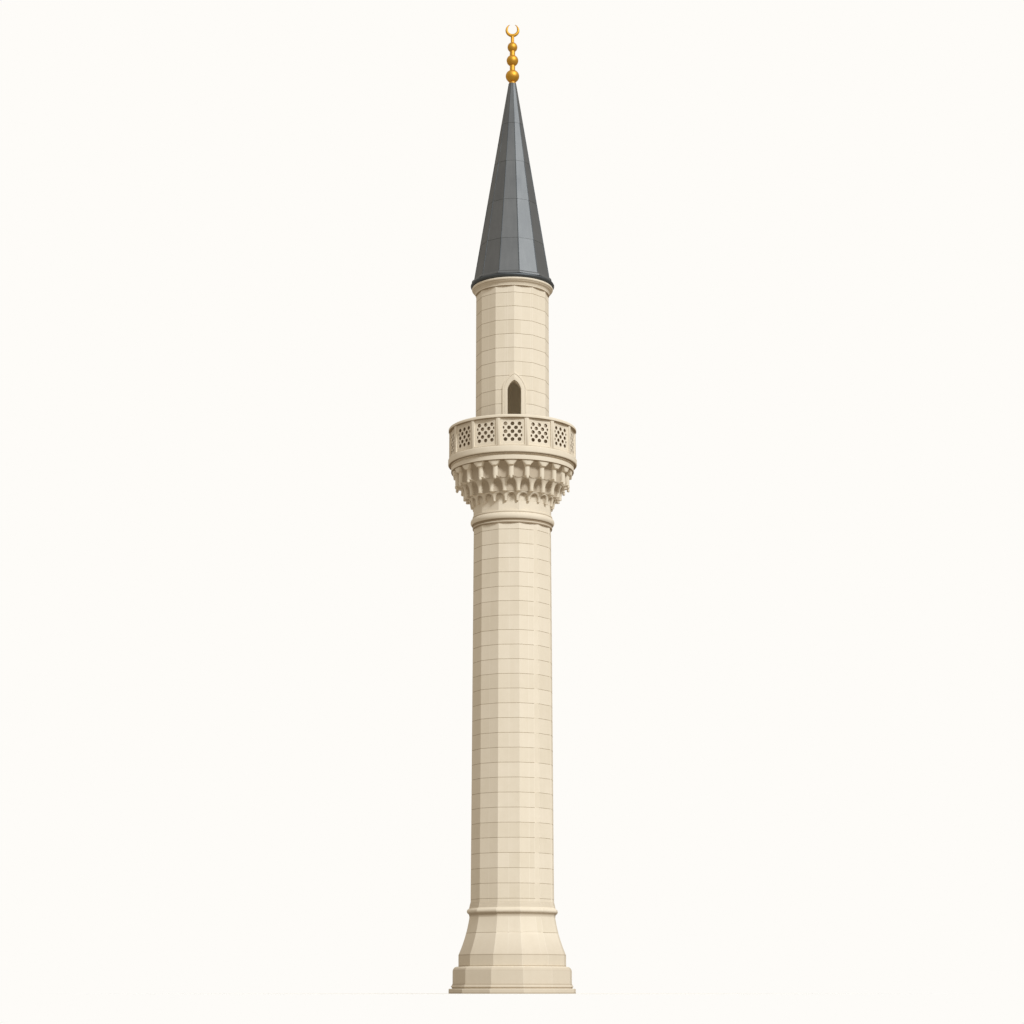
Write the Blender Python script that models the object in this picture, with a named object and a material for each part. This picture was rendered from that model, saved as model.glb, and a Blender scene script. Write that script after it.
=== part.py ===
"""A slender stone minaret with one balcony, a lead spire and a gilded finial.

The tower's axis is Z, its foot stands on z = 0 and its front looks along -Y. The courses are rings
of full wall thickness, so the stair well inside is open from the ground slab to the balcony.
Angles are counted from the front towards +X.
"""

import math

import bmesh
import bpy
from mathutils import Matrix, Vector

# Joint left open between neighbouring stones.
GAP = 0.0003

# The plan: a twelve-sided tower with an arris just right of the front, and round mouldings.
FACES = 12
FACE_ANGLE = math.tau / FACES
TOWER_TURN = math.radians(10.0)
ROUND_SIDES = 36
FACES_PER_WALL = 2

# Radii are taken to the arrises. The well is the hollow inside the walls.
WELL_RADIUS = 0.98
LEDGE_RADIUS = 0.85

# Foot of the tower. The splay widens downwards by a slope and a curve.
SLAB_RADIUS = 2.11
SLAB_TOP = 0.155
MOULDING_RADIUS = 2.03
MOULDING_TOP = 0.31
MOULDING_SET_BACK = 0.03
LOWER_DIE_RADIUS = 1.98
LOWER_DIE_SHOULDER = 0.70
LOWER_DIE_TOP = 0.86
UPPER_DIE_RADIUS = 1.79
UPPER_DIE_TOP = 1.24
SPLAY_TOP_RADIUS = 1.434
SPLAY_TOP = 2.43
SPLAY_SLOPE = 0.1544
SPLAY_CURVE = 0.1173
SPLAY_STEPS = 6
LOWER_RING_RADIUS = 1.52
LOWER_RING_NOSE = 0.09
LOWER_RING_NOSE_HEIGHT = 2.625
LOWER_RING_TOP = 2.91

# Main shaft, its upper ring and the plain neck under the corbels.
SHAFT_FOOT_RADIUS = 1.396
SHAFT_HEAD_RADIUS = 1.339
SHAFT_TOP = 15.44
UPPER_RING_RADIUS = 1.43
UPPER_RING_NOSE = 0.14
UPPER_RING_NOSE_HEIGHT = 15.66
UPPER_RING_TOP = 15.88
NECK_RADIUS = 1.35
NECK_TOP = 16.21

# Corbels under the balcony: three tiers of hanging pendants, the middle one staggered.
PENDANTS = 22
PENDANT_ANGLE = math.tau / PENDANTS
PENDANT_TURN = math.radians(-1.4)
PENDANT_CHEEK = math.radians(0.5)
LOWER_TIER_TOP = 16.49
MIDDLE_TIER_TOP = 16.90
UPPER_TIER_TOP = 17.43

# Balcony. The paving and the landing keep clear of the walls that stand beside them.
CORNICE_RADIUS = 2.105
CORNICE_TOP = 17.67
CORNICE_GROOVE = 0.09
FLOOR_TOP = 17.80
FLOOR_CLEARANCE = 0.002
NOTCH_CLEARANCE = 0.001
KERB_RADIUS = 2.21
KERB_INNER_RADIUS = 1.99
KERB_TOP = 17.89
MOULDING_EASE = 0.03
PANELS = 14
PANEL_ANGLE = math.tau / PANELS
PARAPET_RADIUS = 2.178
PARAPET_THICKNESS = 0.14
PANEL_RECESS = 0.03
POST_HALF_WIDTH = 0.075
PANEL_TOP = 18.88
RAIL_RADIUS = 2.213
RAIL_INNER_RADIUS = 2.0
RAIL_TOP = 19.02
HOLE_RADIUS = 0.06
HOLE_SPACING = 0.235
HOLE_ROW_HEIGHT = 0.135
HOLE_ROWS = (3, 2, 3, 2, 3)
HOLE_FIELD_HEIGHT = 18.40

# Upper drum with its door, whose middle stands on an arris.
DRUM_TURN = math.radians(3.0)
DRUM_RADIUS = 1.268
DRUM_TOP = 23.78
DOOR_HALF_WIDTH = 0.2315
DOOR_SPRING = 20.115
DOOR_RISE = 0.296
SURROUND_HALF_WIDTH = 0.41
SURROUND_SPRING = 20.159
SURROUND_RISE = 0.473
SURROUND_PROUD = 0.03
DOOR_HEAD_COURSE = 20.75

# Eaves: a fillet, a hollow and a roll in stone, and the lead lip over them.
EAVE_FILLET_RADIUS = 1.288
EAVE_FILLET_TOP = 23.83
EAVE_ROLL = 0.05
EAVE_ROLL_RADIUS = 1.415
EAVE_ROLL_HEIGHT = 24.015
EAVE_TOP = 24.07
LIP_RADIUS = 1.46
LIP_TOP = 24.21
LIP_INNER_RADIUS = 1.20

# Spire: a hollow cone whose foot rolls out over the lip.
SPIRE_EAVE_RADIUS = 1.45
SPIRE_FOOT_RADIUS = 1.35
SPIRE_FOOT = 24.32
SPIRE_HEAD_RADIUS = 0.138
SPIRE_TOP = 31.72
SPIRE_SHELL = 0.10
SPIRE_INNER_HEAD = 31.37
SPIRE_INNER_HEAD_RADIUS = 0.06
FLARE_STEPS = 4

# Gilded finial: a collar, three balls on one stem, and a crescent. Each ball is given by the
# height of its middle, its radius and its half height.
COLLAR_RADIUS = 0.125
COLLAR_HEIGHT = 0.06
STEM_RADIUS = 0.094
NECK_STEM_RADIUS = 0.060
BALLS = ((32.015, 0.242, 0.235), (32.613, 0.209, 0.211), (33.125, 0.177, 0.186))
BALL_STEPS = 6
STEM_TOP = 33.54
FINIAL_SIDES = 16
CRESCENT_HEIGHT = 33.77
CRESCENT_RADIUS = 0.250
CRESCENT_INNER_RADIUS = 0.165
CRESCENT_SHIFT = 0.035
CRESCENT_THICKNESS = 0.09
CRESCENT_STEPS = 20


def clear_scene():
    """Remove whatever objects the file holds."""
    for old in list(bpy.data.objects):
        bpy.data.objects.remove(old, do_unlink=True)


def make_material(name, colour, roughness, metallic):
    """A plain Principled finish."""
    finish = bpy.data.materials.new(name)
    finish.use_nodes = True
    shader = finish.node_tree.nodes["Principled BSDF"]
    shader.inputs["Base Color"].default_value = (*colour, 1.0)
    shader.inputs["Roughness"].default_value = roughness
    shader.inputs["Metallic"].default_value = metallic
    return finish


def limestone(name):
    return make_material(name, (0.78, 0.66, 0.48), 0.85, 0.0)


def lead(name):
    return make_material(name, (0.22, 0.24, 0.26), 0.55, 0.6)


def gilding(name):
    return make_material(name, (0.85, 0.50, 0.10), 0.25, 1.0)


def polar(radius, angle, height):
    """A point at an angle counted from the front towards +X."""
    return Vector((radius * math.sin(angle), -radius * math.cos(angle), height))


def place(name, mesh_builder, finish, smooth_angle=None):
    """Turn a finished bmesh into a named object."""
    mesh = bpy.data.meshes.new(name)
    bmesh.ops.recalc_face_normals(mesh_builder, faces=mesh_builder.faces)
    mesh_builder.to_mesh(mesh)
    mesh_builder.free()
    if smooth_angle is not None:
        mesh.shade_smooth()
        mesh.set_sharp_from_angle(angle=math.radians(smooth_angle))
    mesh.materials.append(finish)
    piece = bpy.data.objects.new(name, mesh)
    bpy.context.collection.objects.link(piece)
    return piece


def arc(centre_radius, centre_height, radius, start, end, steps):
    """Profile points on an arc, angles in degrees from the outward direction upwards."""
    points = []
    for step in range(steps + 1):
        angle = math.radians(start + (end - start) * step / steps)
        points.append((centre_radius + radius * math.cos(angle),
                       centre_height + radius * math.sin(angle)))
    return points


def turned_ring(name, profile, sides, turn, finish, smooth_angle=None):
    """Spin a closed profile of (radius, height) points round the axis."""
    bm = bmesh.new()
    verts = [bm.verts.new(polar(radius, turn, height)) for radius, height in profile]
    edges = [bm.edges.new((verts[i], verts[(i + 1) % len(verts)])) for i in range(len(verts))]
    bmesh.ops.spin(bm, geom=verts + edges, cent=(0, 0, 0), axis=(0, 0, 1),
                   angle=math.tau, steps=sides, use_merge=True, use_duplicate=False)
    return place(name, bm, finish, smooth_angle)


def turned_solid(name, profile, sides, turn, finish, smooth_angle=None):
    """Spin an open profile whose two ends lie on the axis."""
    bm = bmesh.new()
    verts = [bm.verts.new(polar(radius, turn, height)) for radius, height in profile]
    edges = [bm.edges.new((verts[i], verts[i + 1])) for i in range(len(verts) - 1)]
    bmesh.ops.spin(bm, geom=verts + edges, cent=(0, 0, 0), axis=(0, 0, 1),
                   angle=math.tau, steps=sides, use_merge=True, use_duplicate=False)
    bmesh.ops.remove_doubles(bm, verts=bm.verts, dist=1e-5)
    return place(name, bm, finish, smooth_angle)


def wall_outline(first_angle, face_count, outer, inner):
    """Plan of a stretch of wall, with half a joint taken off each end."""
    outline = []
    for radius, corners in ((outer, range(face_count + 1)), (inner, range(face_count, -1, -1))):
        for corner in corners:
            angle = first_angle + corner * FACE_ANGLE
            if corner == 0:
                angle += GAP / 2 / radius
            if corner == face_count:
                angle -= GAP / 2 / radius
            outline.append((radius, angle))
    return outline


def wall(name, first_angle, face_count, foot_radius, head_radius, foot, head):
    """One upright stretch of the tower's wall, tapering on its outer side."""
    bm = bmesh.new()
    outline = wall_outline(first_angle, face_count, foot_radius, WELL_RADIUS)
    base = bm.faces.new([bm.verts.new(polar(radius, angle, foot)) for radius, angle in outline])
    raised = bmesh.ops.extrude_face_region(bm, geom=[base])["geom"]
    middle = (foot_radius + WELL_RADIUS) / 2
    for vert in (item for item in raised if isinstance(item, bmesh.types.BMVert)):
        reach = math.hypot(vert.co.x, vert.co.y)
        taper = head_radius / foot_radius if reach > middle else 1.0
        vert.co = Vector((vert.co.x * taper, vert.co.y * taper, head))
    return place(name, bm, limestone(name))


def ring_of_walls(prefix, turn, foot_radius, head_radius, foot, head, skipped=()):
    """The walls that close a storey, two faces to a wall."""
    for number in range(FACES // FACES_PER_WALL):
        if number in skipped:
            continue
        first_angle = turn + (number * FACES_PER_WALL - 1) * FACE_ANGLE
        wall(f"{prefix}_{number + 1}", first_angle, FACES_PER_WALL,
             foot_radius, head_radius, foot, head)


def make_foot():
    """Ground slab, plinth courses, the flared splay and the ring on top of it."""
    turned_solid("ground_slab", [(0.0, 0.0), (SLAB_RADIUS, 0.0), (SLAB_RADIUS, SLAB_TOP),
                                 (0.0, SLAB_TOP)],
                 FACES, TOWER_TURN, limestone("ground_slab"))

    set_back = MOULDING_RADIUS - MOULDING_SET_BACK
    moulding = [(WELL_RADIUS, SLAB_TOP + GAP), (set_back, SLAB_TOP + GAP),
                (MOULDING_RADIUS, SLAB_TOP + 0.04), (MOULDING_RADIUS, MOULDING_TOP - 0.06),
                (LOWER_DIE_RADIUS, MOULDING_TOP), (WELL_RADIUS, MOULDING_TOP)]
    turned_ring("plinth_moulding", moulding, FACES, TOWER_TURN, limestone("plinth_moulding"))

    shoulder = LOWER_DIE_TOP - LOWER_DIE_SHOULDER
    lower_die = [(WELL_RADIUS, MOULDING_TOP + GAP), (LOWER_DIE_RADIUS, MOULDING_TOP + GAP)]
    lower_die += arc(LOWER_DIE_RADIUS - shoulder, LOWER_DIE_SHOULDER, shoulder, 0, 60, 3)
    lower_die += [(UPPER_DIE_RADIUS, LOWER_DIE_TOP), (WELL_RADIUS, LOWER_DIE_TOP)]
    turned_ring("lower_die", lower_die, FACES, TOWER_TURN, limestone("lower_die"))

    upper_die = [(WELL_RADIUS, LOWER_DIE_TOP + GAP), (UPPER_DIE_RADIUS, LOWER_DIE_TOP + GAP),
                 (UPPER_DIE_RADIUS, UPPER_DIE_TOP), (WELL_RADIUS, UPPER_DIE_TOP)]
    turned_ring("upper_die", upper_die, FACES, TOWER_TURN, limestone("upper_die"))

    splay_foot = UPPER_DIE_TOP + GAP
    splay = [(WELL_RADIUS, splay_foot)]
    for step in range(SPLAY_STEPS + 1):
        drop = (SPLAY_TOP - splay_foot) * (1.0 - step / SPLAY_STEPS)
        splay.append((SPLAY_TOP_RADIUS + SPLAY_SLOPE * drop + SPLAY_CURVE * drop ** 2,
                      SPLAY_TOP - drop))
    splay.append((WELL_RADIUS, SPLAY_TOP))
    turned_ring("base_splay", splay, FACES, TOWER_TURN, limestone("base_splay"))

    ring = [(WELL_RADIUS, SPLAY_TOP + GAP), (SPLAY_TOP_RADIUS, SPLAY_TOP + GAP),
            (SPLAY_TOP_RADIUS + 0.01, SPLAY_TOP + 0.08)]
    ring += arc(LOWER_RING_RADIUS - LOWER_RING_NOSE, LOWER_RING_NOSE_HEIGHT, LOWER_RING_NOSE,
                -60, 60, 6)
    ring += [(SHAFT_FOOT_RADIUS + 0.045, LOWER_RING_NOSE_HEIGHT + 0.11),
             (SHAFT_FOOT_RADIUS + 0.01, LOWER_RING_TOP - 0.05),
             (SHAFT_FOOT_RADIUS + 0.01, LOWER_RING_TOP), (WELL_RADIUS, LOWER_RING_TOP)]
    turned_ring("lower_ring", ring, FACES, TOWER_TURN, limestone("lower_ring"))


def make_shaft():
    """The tall tapering walls, the round ring at their head and the neck above it."""
    ring_of_walls("shaft_wall", TOWER_TURN, SHAFT_FOOT_RADIUS, SHAFT_HEAD_RADIUS,
                  LOWER_RING_TOP + GAP, SHAFT_TOP)

    ring = [(WELL_RADIUS, SHAFT_TOP + GAP), (SHAFT_HEAD_RADIUS + 0.02, SHAFT_TOP + GAP),
            (SHAFT_HEAD_RADIUS + 0.02, SHAFT_TOP + 0.06)]
    ring += arc(UPPER_RING_RADIUS - UPPER_RING_NOSE, UPPER_RING_NOSE_HEIGHT, UPPER_RING_NOSE,
                -62, 62, 6)
    ring += [(NECK_RADIUS + 0.015, UPPER_RING_TOP - 0.05), (NECK_RADIUS + 0.015, UPPER_RING_TOP),
             (WELL_RADIUS, UPPER_RING_TOP)]
    turned_ring("upper_ring", ring, ROUND_SIDES, TOWER_TURN, limestone("upper_ring"), 35)

    neck = [(WELL_RADIUS, UPPER_RING_TOP + GAP), (NECK_RADIUS, UPPER_RING_TOP + GAP),
            (NECK_RADIUS, NECK_TOP), (WELL_RADIUS, NECK_TOP)]
    turned_ring("corbel_neck", neck, FACES, TOWER_TURN, limestone("corbel_neck"))


def corbel_tier(name, foot, rows, turn):
    """A ring of hanging pendants with niches between them.

    Each row gives, from the foot up: its height above the foot, the pendant's outer radius and
    half angle in degrees, and the niche's radius beside the pendant and at its deepest point.
    """
    bm = bmesh.new()
    loops = []
    for rise, front_radius, half_angle, side_radius, back_radius in rows:
        half = math.radians(half_angle)
        cheek = half + PENDANT_CHEEK
        loop = []
        for number in range(PENDANTS):
            middle = turn + number * PENDANT_ANGLE
            for offset, radius in ((-half, front_radius), (half, front_radius),
                                   (cheek, side_radius), (PENDANT_ANGLE / 2, back_radius),
                                   (PENDANT_ANGLE - cheek, side_radius)):
                loop.append(bm.verts.new(polar(radius, middle + offset, foot + rise)))
        loops.append(loop)
    for rise in (rows[-1][0], rows[0][0]):
        loops.append([bm.verts.new(polar(WELL_RADIUS, math.atan2(vert.co.x, -vert.co.y),
                                         foot + rise)) for vert in loops[0]])
    for number, loop in enumerate(loops):
        above = loops[(number + 1) % len(loops)]
        for corner in range(len(loop)):
            after = (corner + 1) % len(loop)
            bm.faces.new((loop[corner], loop[after], above[after], above[corner]))
    return place(name, bm, limestone(name))


def make_corbels():
    """Three tiers, each reaching further out than the one below."""
    lower_foot = NECK_TOP + GAP
    lower_height = LOWER_TIER_TOP - lower_foot
    corbel_tier("lower_corbel_tier", lower_foot, [
        (0.0, 1.43, 1.4, 1.345, 1.335),
        (0.05, 1.45, 1.8, 1.345, 1.335),
        (lower_height - 0.08, 1.47, 2.8, 1.38, 1.345),
        (lower_height, 1.49, 5.5, 1.485, 1.48)], PENDANT_TURN + PENDANT_ANGLE / 2)

    middle_foot = LOWER_TIER_TOP + GAP
    middle_height = MIDDLE_TIER_TOP - middle_foot
    corbel_tier("middle_corbel_tier", middle_foot, [
        (0.0, 1.65, 1.8, 1.50, 1.49),
        (0.04, 1.684, 2.7, 1.50, 1.49),
        (middle_height - 0.20, 1.684, 2.9, 1.52, 1.50),
        (middle_height - 0.07, 1.71, 5.0, 1.62, 1.54),
        (middle_height, 1.75, 7.2, 1.745, 1.74)], PENDANT_TURN + PENDANT_ANGLE / 2)

    upper_foot = MIDDLE_TIER_TOP + GAP
    upper_height = UPPER_TIER_TOP - upper_foot
    corbel_tier("upper_corbel_tier", upper_foot, [
        (0.0, 1.93, 1.5, 1.765, 1.755),
        (0.05, 1.97, 2.4, 1.765, 1.755),
        (upper_height - 0.15, 1.975, 2.4, 1.80, 1.77),
        (upper_height - 0.06, 2.02, 3.6, 1.93, 1.86),
        (upper_height, 2.07, 5.2, 2.06, 2.05)], PENDANT_TURN)


def make_balcony():
    """Cornice, paving, the landing inside the drum, and the pierced parapet."""
    groove = CORNICE_TOP - CORNICE_GROOVE
    cornice = [(LEDGE_RADIUS, UPPER_TIER_TOP + GAP),
               (CORNICE_RADIUS - MOULDING_EASE, UPPER_TIER_TOP + GAP),
               (CORNICE_RADIUS, UPPER_TIER_TOP + MOULDING_EASE), (CORNICE_RADIUS, groove),
               (CORNICE_RADIUS + MOULDING_EASE, groove + MOULDING_EASE),
               (CORNICE_RADIUS + MOULDING_EASE, CORNICE_TOP), (LEDGE_RADIUS, CORNICE_TOP)]
    turned_ring("balcony_cornice", cornice, ROUND_SIDES, 0.0, limestone("balcony_cornice"), 35)

    kerb_foot = CORNICE_TOP + GAP
    kerb = [(KERB_INNER_RADIUS, kerb_foot), (KERB_RADIUS - MOULDING_EASE, kerb_foot),
            (KERB_RADIUS, kerb_foot + MOULDING_EASE), (KERB_RADIUS, KERB_TOP - MOULDING_EASE),
            (KERB_RADIUS - MOULDING_EASE, KERB_TOP), (KERB_INNER_RADIUS, KERB_TOP)]
    turned_ring("parapet_kerb", kerb, ROUND_SIDES, 0.0, limestone("parapet_kerb"), 35)

    paving_radius = KERB_INNER_RADIUS - FLOOR_CLEARANCE
    paving = [(0.0, CORNICE_TOP + GAP), (paving_radius, CORNICE_TOP + GAP),
              (paving_radius, FLOOR_TOP), (0.0, FLOOR_TOP)]
    floor = turned_solid("balcony_floor", paving, ROUND_SIDES, 0.0, limestone("balcony_floor"))
    notch_radius = DRUM_RADIUS + NOTCH_CLEARANCE
    notch_foot = CORNICE_TOP - KERB_RADIUS
    drum_plan = [(0.0, notch_foot), (notch_radius, notch_foot), (notch_radius, DRUM_TOP),
                 (0.0, DRUM_TOP)]
    cut_away(floor, turned_solid("drum_notch", drum_plan, FACES, DRUM_TURN,
                                 limestone("drum_notch")))
    cut_away(floor, surround_block("sill_notch", SURROUND_HALF_WIDTH + NOTCH_CLEARANCE,
                                   SURROUND_SPRING, SURROUND_RISE,
                                   SURROUND_PROUD + NOTCH_CLEARANCE, notch_foot / 2 + FLOOR_TOP / 2))

    landing = WELL_RADIUS - FLOOR_CLEARANCE
    turned_solid("landing_floor", [(0.0, CORNICE_TOP + GAP), (landing, CORNICE_TOP + GAP),
                                   (landing, FLOOR_TOP), (0.0, FLOOR_TOP)],
                 FACES, DRUM_TURN, limestone("landing_floor"))

    make_parapet_panels()

    rail = [(RAIL_INNER_RADIUS, PANEL_TOP + GAP), (RAIL_RADIUS - MOULDING_EASE, PANEL_TOP + GAP),
            (RAIL_RADIUS, PANEL_TOP + MOULDING_EASE), (RAIL_RADIUS, RAIL_TOP - MOULDING_EASE),
            (RAIL_RADIUS - MOULDING_EASE, RAIL_TOP), (RAIL_INNER_RADIUS + MOULDING_EASE, RAIL_TOP),
            (RAIL_INNER_RADIUS, RAIL_TOP - MOULDING_EASE)]
    turned_ring("parapet_rail", rail, PANELS, PANEL_ANGLE / 2, limestone("parapet_rail"))


def hole_cutter(name, face_distance):
    """Six-sided bars that pierce a parapet panel in staggered rows."""
    bm = bmesh.new()
    rows = len(HOLE_ROWS)
    for row, count in enumerate(HOLE_ROWS):
        height = HOLE_FIELD_HEIGHT + ((rows - 1) / 2 - row) * HOLE_ROW_HEIGHT
        for column in range(count):
            across = (column - (count - 1) / 2) * HOLE_SPACING
            turn = (Matrix.Translation((across, -face_distance, height))
                    @ Matrix.Rotation(math.pi / 2, 4, "X") @ Matrix.Rotation(math.pi / 6, 4, "Z"))
            bmesh.ops.create_cone(bm, cap_ends=True, segments=6, radius1=HOLE_RADIUS,
                                  radius2=HOLE_RADIUS, depth=4 * PARAPET_THICKNESS, matrix=turn)
    cutter = place(name, bm, limestone(name))
    cutter.hide_render = True
    cutter.display_type = "WIRE"
    return cutter


def make_parapet_panels():
    """Flat stone panels between half posts, one to each side of the parapet."""
    half_side = PANEL_ANGLE / 2
    front = PARAPET_RADIUS * math.cos(half_side)
    back = front - PARAPET_THICKNESS
    front_end = front * math.tan(half_side) - GAP / 2
    back_end = back * math.tan(half_side) - GAP / 2
    field_end = front_end - POST_HALF_WIDTH
    field = front - PANEL_RECESS
    bm = bmesh.new()
    plan = [(-front_end, -front), (-field_end, -front), (-field_end, -field), (field_end, -field),
            (field_end, -front), (front_end, -front), (back_end, -back), (-back_end, -back)]
    base = bm.faces.new([bm.verts.new((x, y, KERB_TOP + GAP)) for x, y in plan])
    raised = bmesh.ops.extrude_face_region(bm, geom=[base])["geom"]
    bmesh.ops.translate(bm, vec=(0, 0, PANEL_TOP - KERB_TOP - GAP),
                        verts=[item for item in raised if isinstance(item, bmesh.types.BMVert)])
    pattern = place("panel_pattern", bm, limestone("panel_pattern"))
    cut_away(pattern, hole_cutter("panel_holes", (field + back) / 2))
    depsgraph = bpy.context.evaluated_depsgraph_get()
    pierced = bpy.data.meshes.new_from_object(pattern.evaluated_get(depsgraph))
    bpy.data.objects.remove(pattern, do_unlink=True)
    for number in range(PANELS):
        name = f"parapet_panel_{number + 1:02d}"
        mesh = pierced.copy()
        mesh.materials.clear()
        mesh.materials.append(limestone(name))
        panel = bpy.data.objects.new(name, mesh)
        panel.rotation_euler.z = number * PANEL_ANGLE
        bpy.context.collection.objects.link(panel)


def pointed_arch(half_width, spring, rise, foot, steps):
    """Outline of a two-centred arch on straight jambs, as (across, height) points."""
    radius = (half_width ** 2 + rise ** 2) / (2 * half_width)
    crown = math.atan2(rise, radius - half_width)
    right = []
    for step in range(steps + 1):
        angle = crown * step / steps
        right.append((half_width - radius + radius * math.cos(angle),
                      spring + radius * math.sin(angle)))
    left = [(-across, height) for across, height in reversed(right[:-1])]
    return [(-half_width, foot), (half_width, foot)] + right + left


def arch_prism(name, half_width, spring, rise, foot, near, far):
    """An arch outline pushed out through the drum's front wall."""
    bm = bmesh.new()
    outline = pointed_arch(half_width, spring, rise, foot, 6)
    base = bm.faces.new([bm.verts.new((across, -near, height)) for across, height in outline])
    raised = bmesh.ops.extrude_face_region(bm, geom=[base])["geom"]
    bmesh.ops.translate(bm, vec=(0, near - far, 0),
                        verts=[item for item in raised if isinstance(item, bmesh.types.BMVert)])
    bmesh.ops.rotate(bm, cent=(0, 0, 0), matrix=Matrix.Rotation(DRUM_TURN, 3, "Z"), verts=bm.verts)
    return place(name, bm, limestone(name))


def surround_block(name, half_width, spring, rise, proud, foot):
    """The door surround before its opening is cut: an arch with the drum's own faces."""
    block = arch_prism(name, half_width, spring, rise, foot, WELL_RADIUS * 0.6, DRUM_RADIUS * 1.5)
    band = [(WELL_RADIUS, CORNICE_TOP - 1.0), (DRUM_RADIUS + proud, CORNICE_TOP - 1.0),
            (DRUM_RADIUS + proud, DRUM_TOP), (WELL_RADIUS, DRUM_TOP)]
    shell = turned_ring(name + "_shell", band, FACES, DRUM_TURN, limestone(name + "_shell"))
    combine(block, shell, "INTERSECT")
    return block


def combine(piece, other, operation):
    """Add an exact boolean and keep its other operand out of the model."""
    other.hide_render = True
    other.display_type = "WIRE"
    modifier = piece.modifiers.new(operation.lower(), "BOOLEAN")
    modifier.operation = operation
    modifier.solver = "EXACT"
    modifier.object = other


def cut_away(piece, cutter):
    """Take a cutter's shape out of a piece."""
    combine(piece, cutter, "DIFFERENCE")


def make_drum():
    """The upper drum: plain walls, two jamb walls, the wall over the door, and the surround."""
    foot = CORNICE_TOP + GAP
    ring_of_walls("drum_wall", DRUM_TURN, DRUM_RADIUS, DRUM_RADIUS, foot, DRUM_TOP, skipped=(0,))
    for name, first_angle in (("drum_wall_left_of_door", DRUM_TURN - FACE_ANGLE),
                              ("drum_wall_right_of_door", DRUM_TURN)):
        jamb = wall(name, first_angle, 1, DRUM_RADIUS, DRUM_RADIUS, foot, DOOR_HEAD_COURSE)
        cutter = arch_prism(name + "_cutter", SURROUND_HALF_WIDTH + GAP, SURROUND_SPRING,
                            SURROUND_RISE + GAP, foot - 1.0, WELL_RADIUS * 0.5, DRUM_RADIUS * 1.5)
        cut_away(jamb, cutter)
    wall("drum_wall_over_door", DRUM_TURN - FACE_ANGLE, FACES_PER_WALL, DRUM_RADIUS, DRUM_RADIUS,
         DOOR_HEAD_COURSE + GAP, DRUM_TOP)

    surround = surround_block("door_surround", SURROUND_HALF_WIDTH, SURROUND_SPRING,
                              SURROUND_RISE, SURROUND_PROUD, CORNICE_TOP + GAP)
    cut_away(surround, arch_prism("door_opening", DOOR_HALF_WIDTH, DOOR_SPRING, DOOR_RISE,
                                  FLOOR_TOP, WELL_RADIUS * 0.5, DRUM_RADIUS * 1.5))


def make_roof():
    """Stone cornice, lead lip and the hollow spire with its flared foot."""
    eave_foot = DRUM_TOP + GAP
    eave = [(WELL_RADIUS, eave_foot), (EAVE_FILLET_RADIUS, eave_foot),
            (EAVE_FILLET_RADIUS, EAVE_FILLET_TOP), (EAVE_FILLET_RADIUS + 0.02, EAVE_FILLET_TOP + 0.03)]
    eave += arc(EAVE_ROLL_RADIUS - EAVE_ROLL, EAVE_ROLL_HEIGHT, EAVE_ROLL, -60, 60, 4)
    eave += [(EAVE_ROLL_RADIUS - EAVE_ROLL, EAVE_TOP), (WELL_RADIUS, EAVE_TOP)]
    turned_ring("eave_cornice", eave, ROUND_SIDES, 0.0, limestone("eave_cornice"), 35)

    lip_foot = EAVE_TOP + GAP
    lip = [(LIP_INNER_RADIUS, lip_foot), (LIP_RADIUS - MOULDING_EASE, lip_foot),
           (LIP_RADIUS, lip_foot + MOULDING_EASE), (LIP_RADIUS, LIP_TOP - MOULDING_EASE),
           (LIP_RADIUS - MOULDING_EASE, LIP_TOP), (LIP_INNER_RADIUS, LIP_TOP)]
    turned_ring("lead_eave_lip", lip, ROUND_SIDES, 0.0, lead("lead_eave_lip"), 35)

    spire_base = LIP_TOP + GAP
    roll_out = SPIRE_EAVE_RADIUS - SPIRE_FOOT_RADIUS
    inner_foot_radius = SPIRE_FOOT_RADIUS - SPIRE_SHELL
    spire = [(inner_foot_radius, spire_base)]
    for step in range(FLARE_STEPS + 1):
        quarter = math.pi / 2 * step / FLARE_STEPS
        spire.append((SPIRE_FOOT_RADIUS + roll_out * math.cos(quarter),
                      spire_base + (SPIRE_FOOT - spire_base) * math.sin(quarter)))
    spire += [(SPIRE_HEAD_RADIUS, SPIRE_TOP), (SPIRE_INNER_HEAD_RADIUS, SPIRE_TOP),
              (SPIRE_INNER_HEAD_RADIUS, SPIRE_INNER_HEAD), (inner_foot_radius, SPIRE_FOOT)]
    turned_ring("spire", spire, FACES, TOWER_TURN, lead("spire"))


def make_finial():
    """Collar, balls and stem in one turning, and the crescent on top."""
    foot = SPIRE_TOP + GAP
    profile = [(0.0, foot), (COLLAR_RADIUS, foot), (COLLAR_RADIUS, foot + COLLAR_HEIGHT)]
    for number, (height, radius, half_height) in enumerate(BALLS):
        stem = STEM_RADIUS if number < len(BALLS) - 1 else NECK_STEM_RADIUS
        low = math.pi - math.asin(STEM_RADIUS / radius)
        high = math.asin(stem / radius)
        for step in range(BALL_STEPS + 1):
            angle = low + (high - low) * step / BALL_STEPS
            profile.append((radius * math.sin(angle), height + half_height * math.cos(angle)))
    profile += [(NECK_STEM_RADIUS, STEM_TOP), (0.0, STEM_TOP)]
    turned_solid("finial_stem", profile, FINIAL_SIDES, 0.0, gilding("finial_stem"), 40)

    bm = bmesh.new()
    outline = crescent_outline()
    base = bm.faces.new([bm.verts.new((across, CRESCENT_THICKNESS / 2, height))
                         for across, height in outline])
    raised = bmesh.ops.extrude_face_region(bm, geom=[base])["geom"]
    bmesh.ops.translate(bm, vec=(0, -CRESCENT_THICKNESS, 0),
                        verts=[item for item in raised if isinstance(item, bmesh.types.BMVert)])
    place("finial_crescent", bm, gilding("finial_crescent"))


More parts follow.
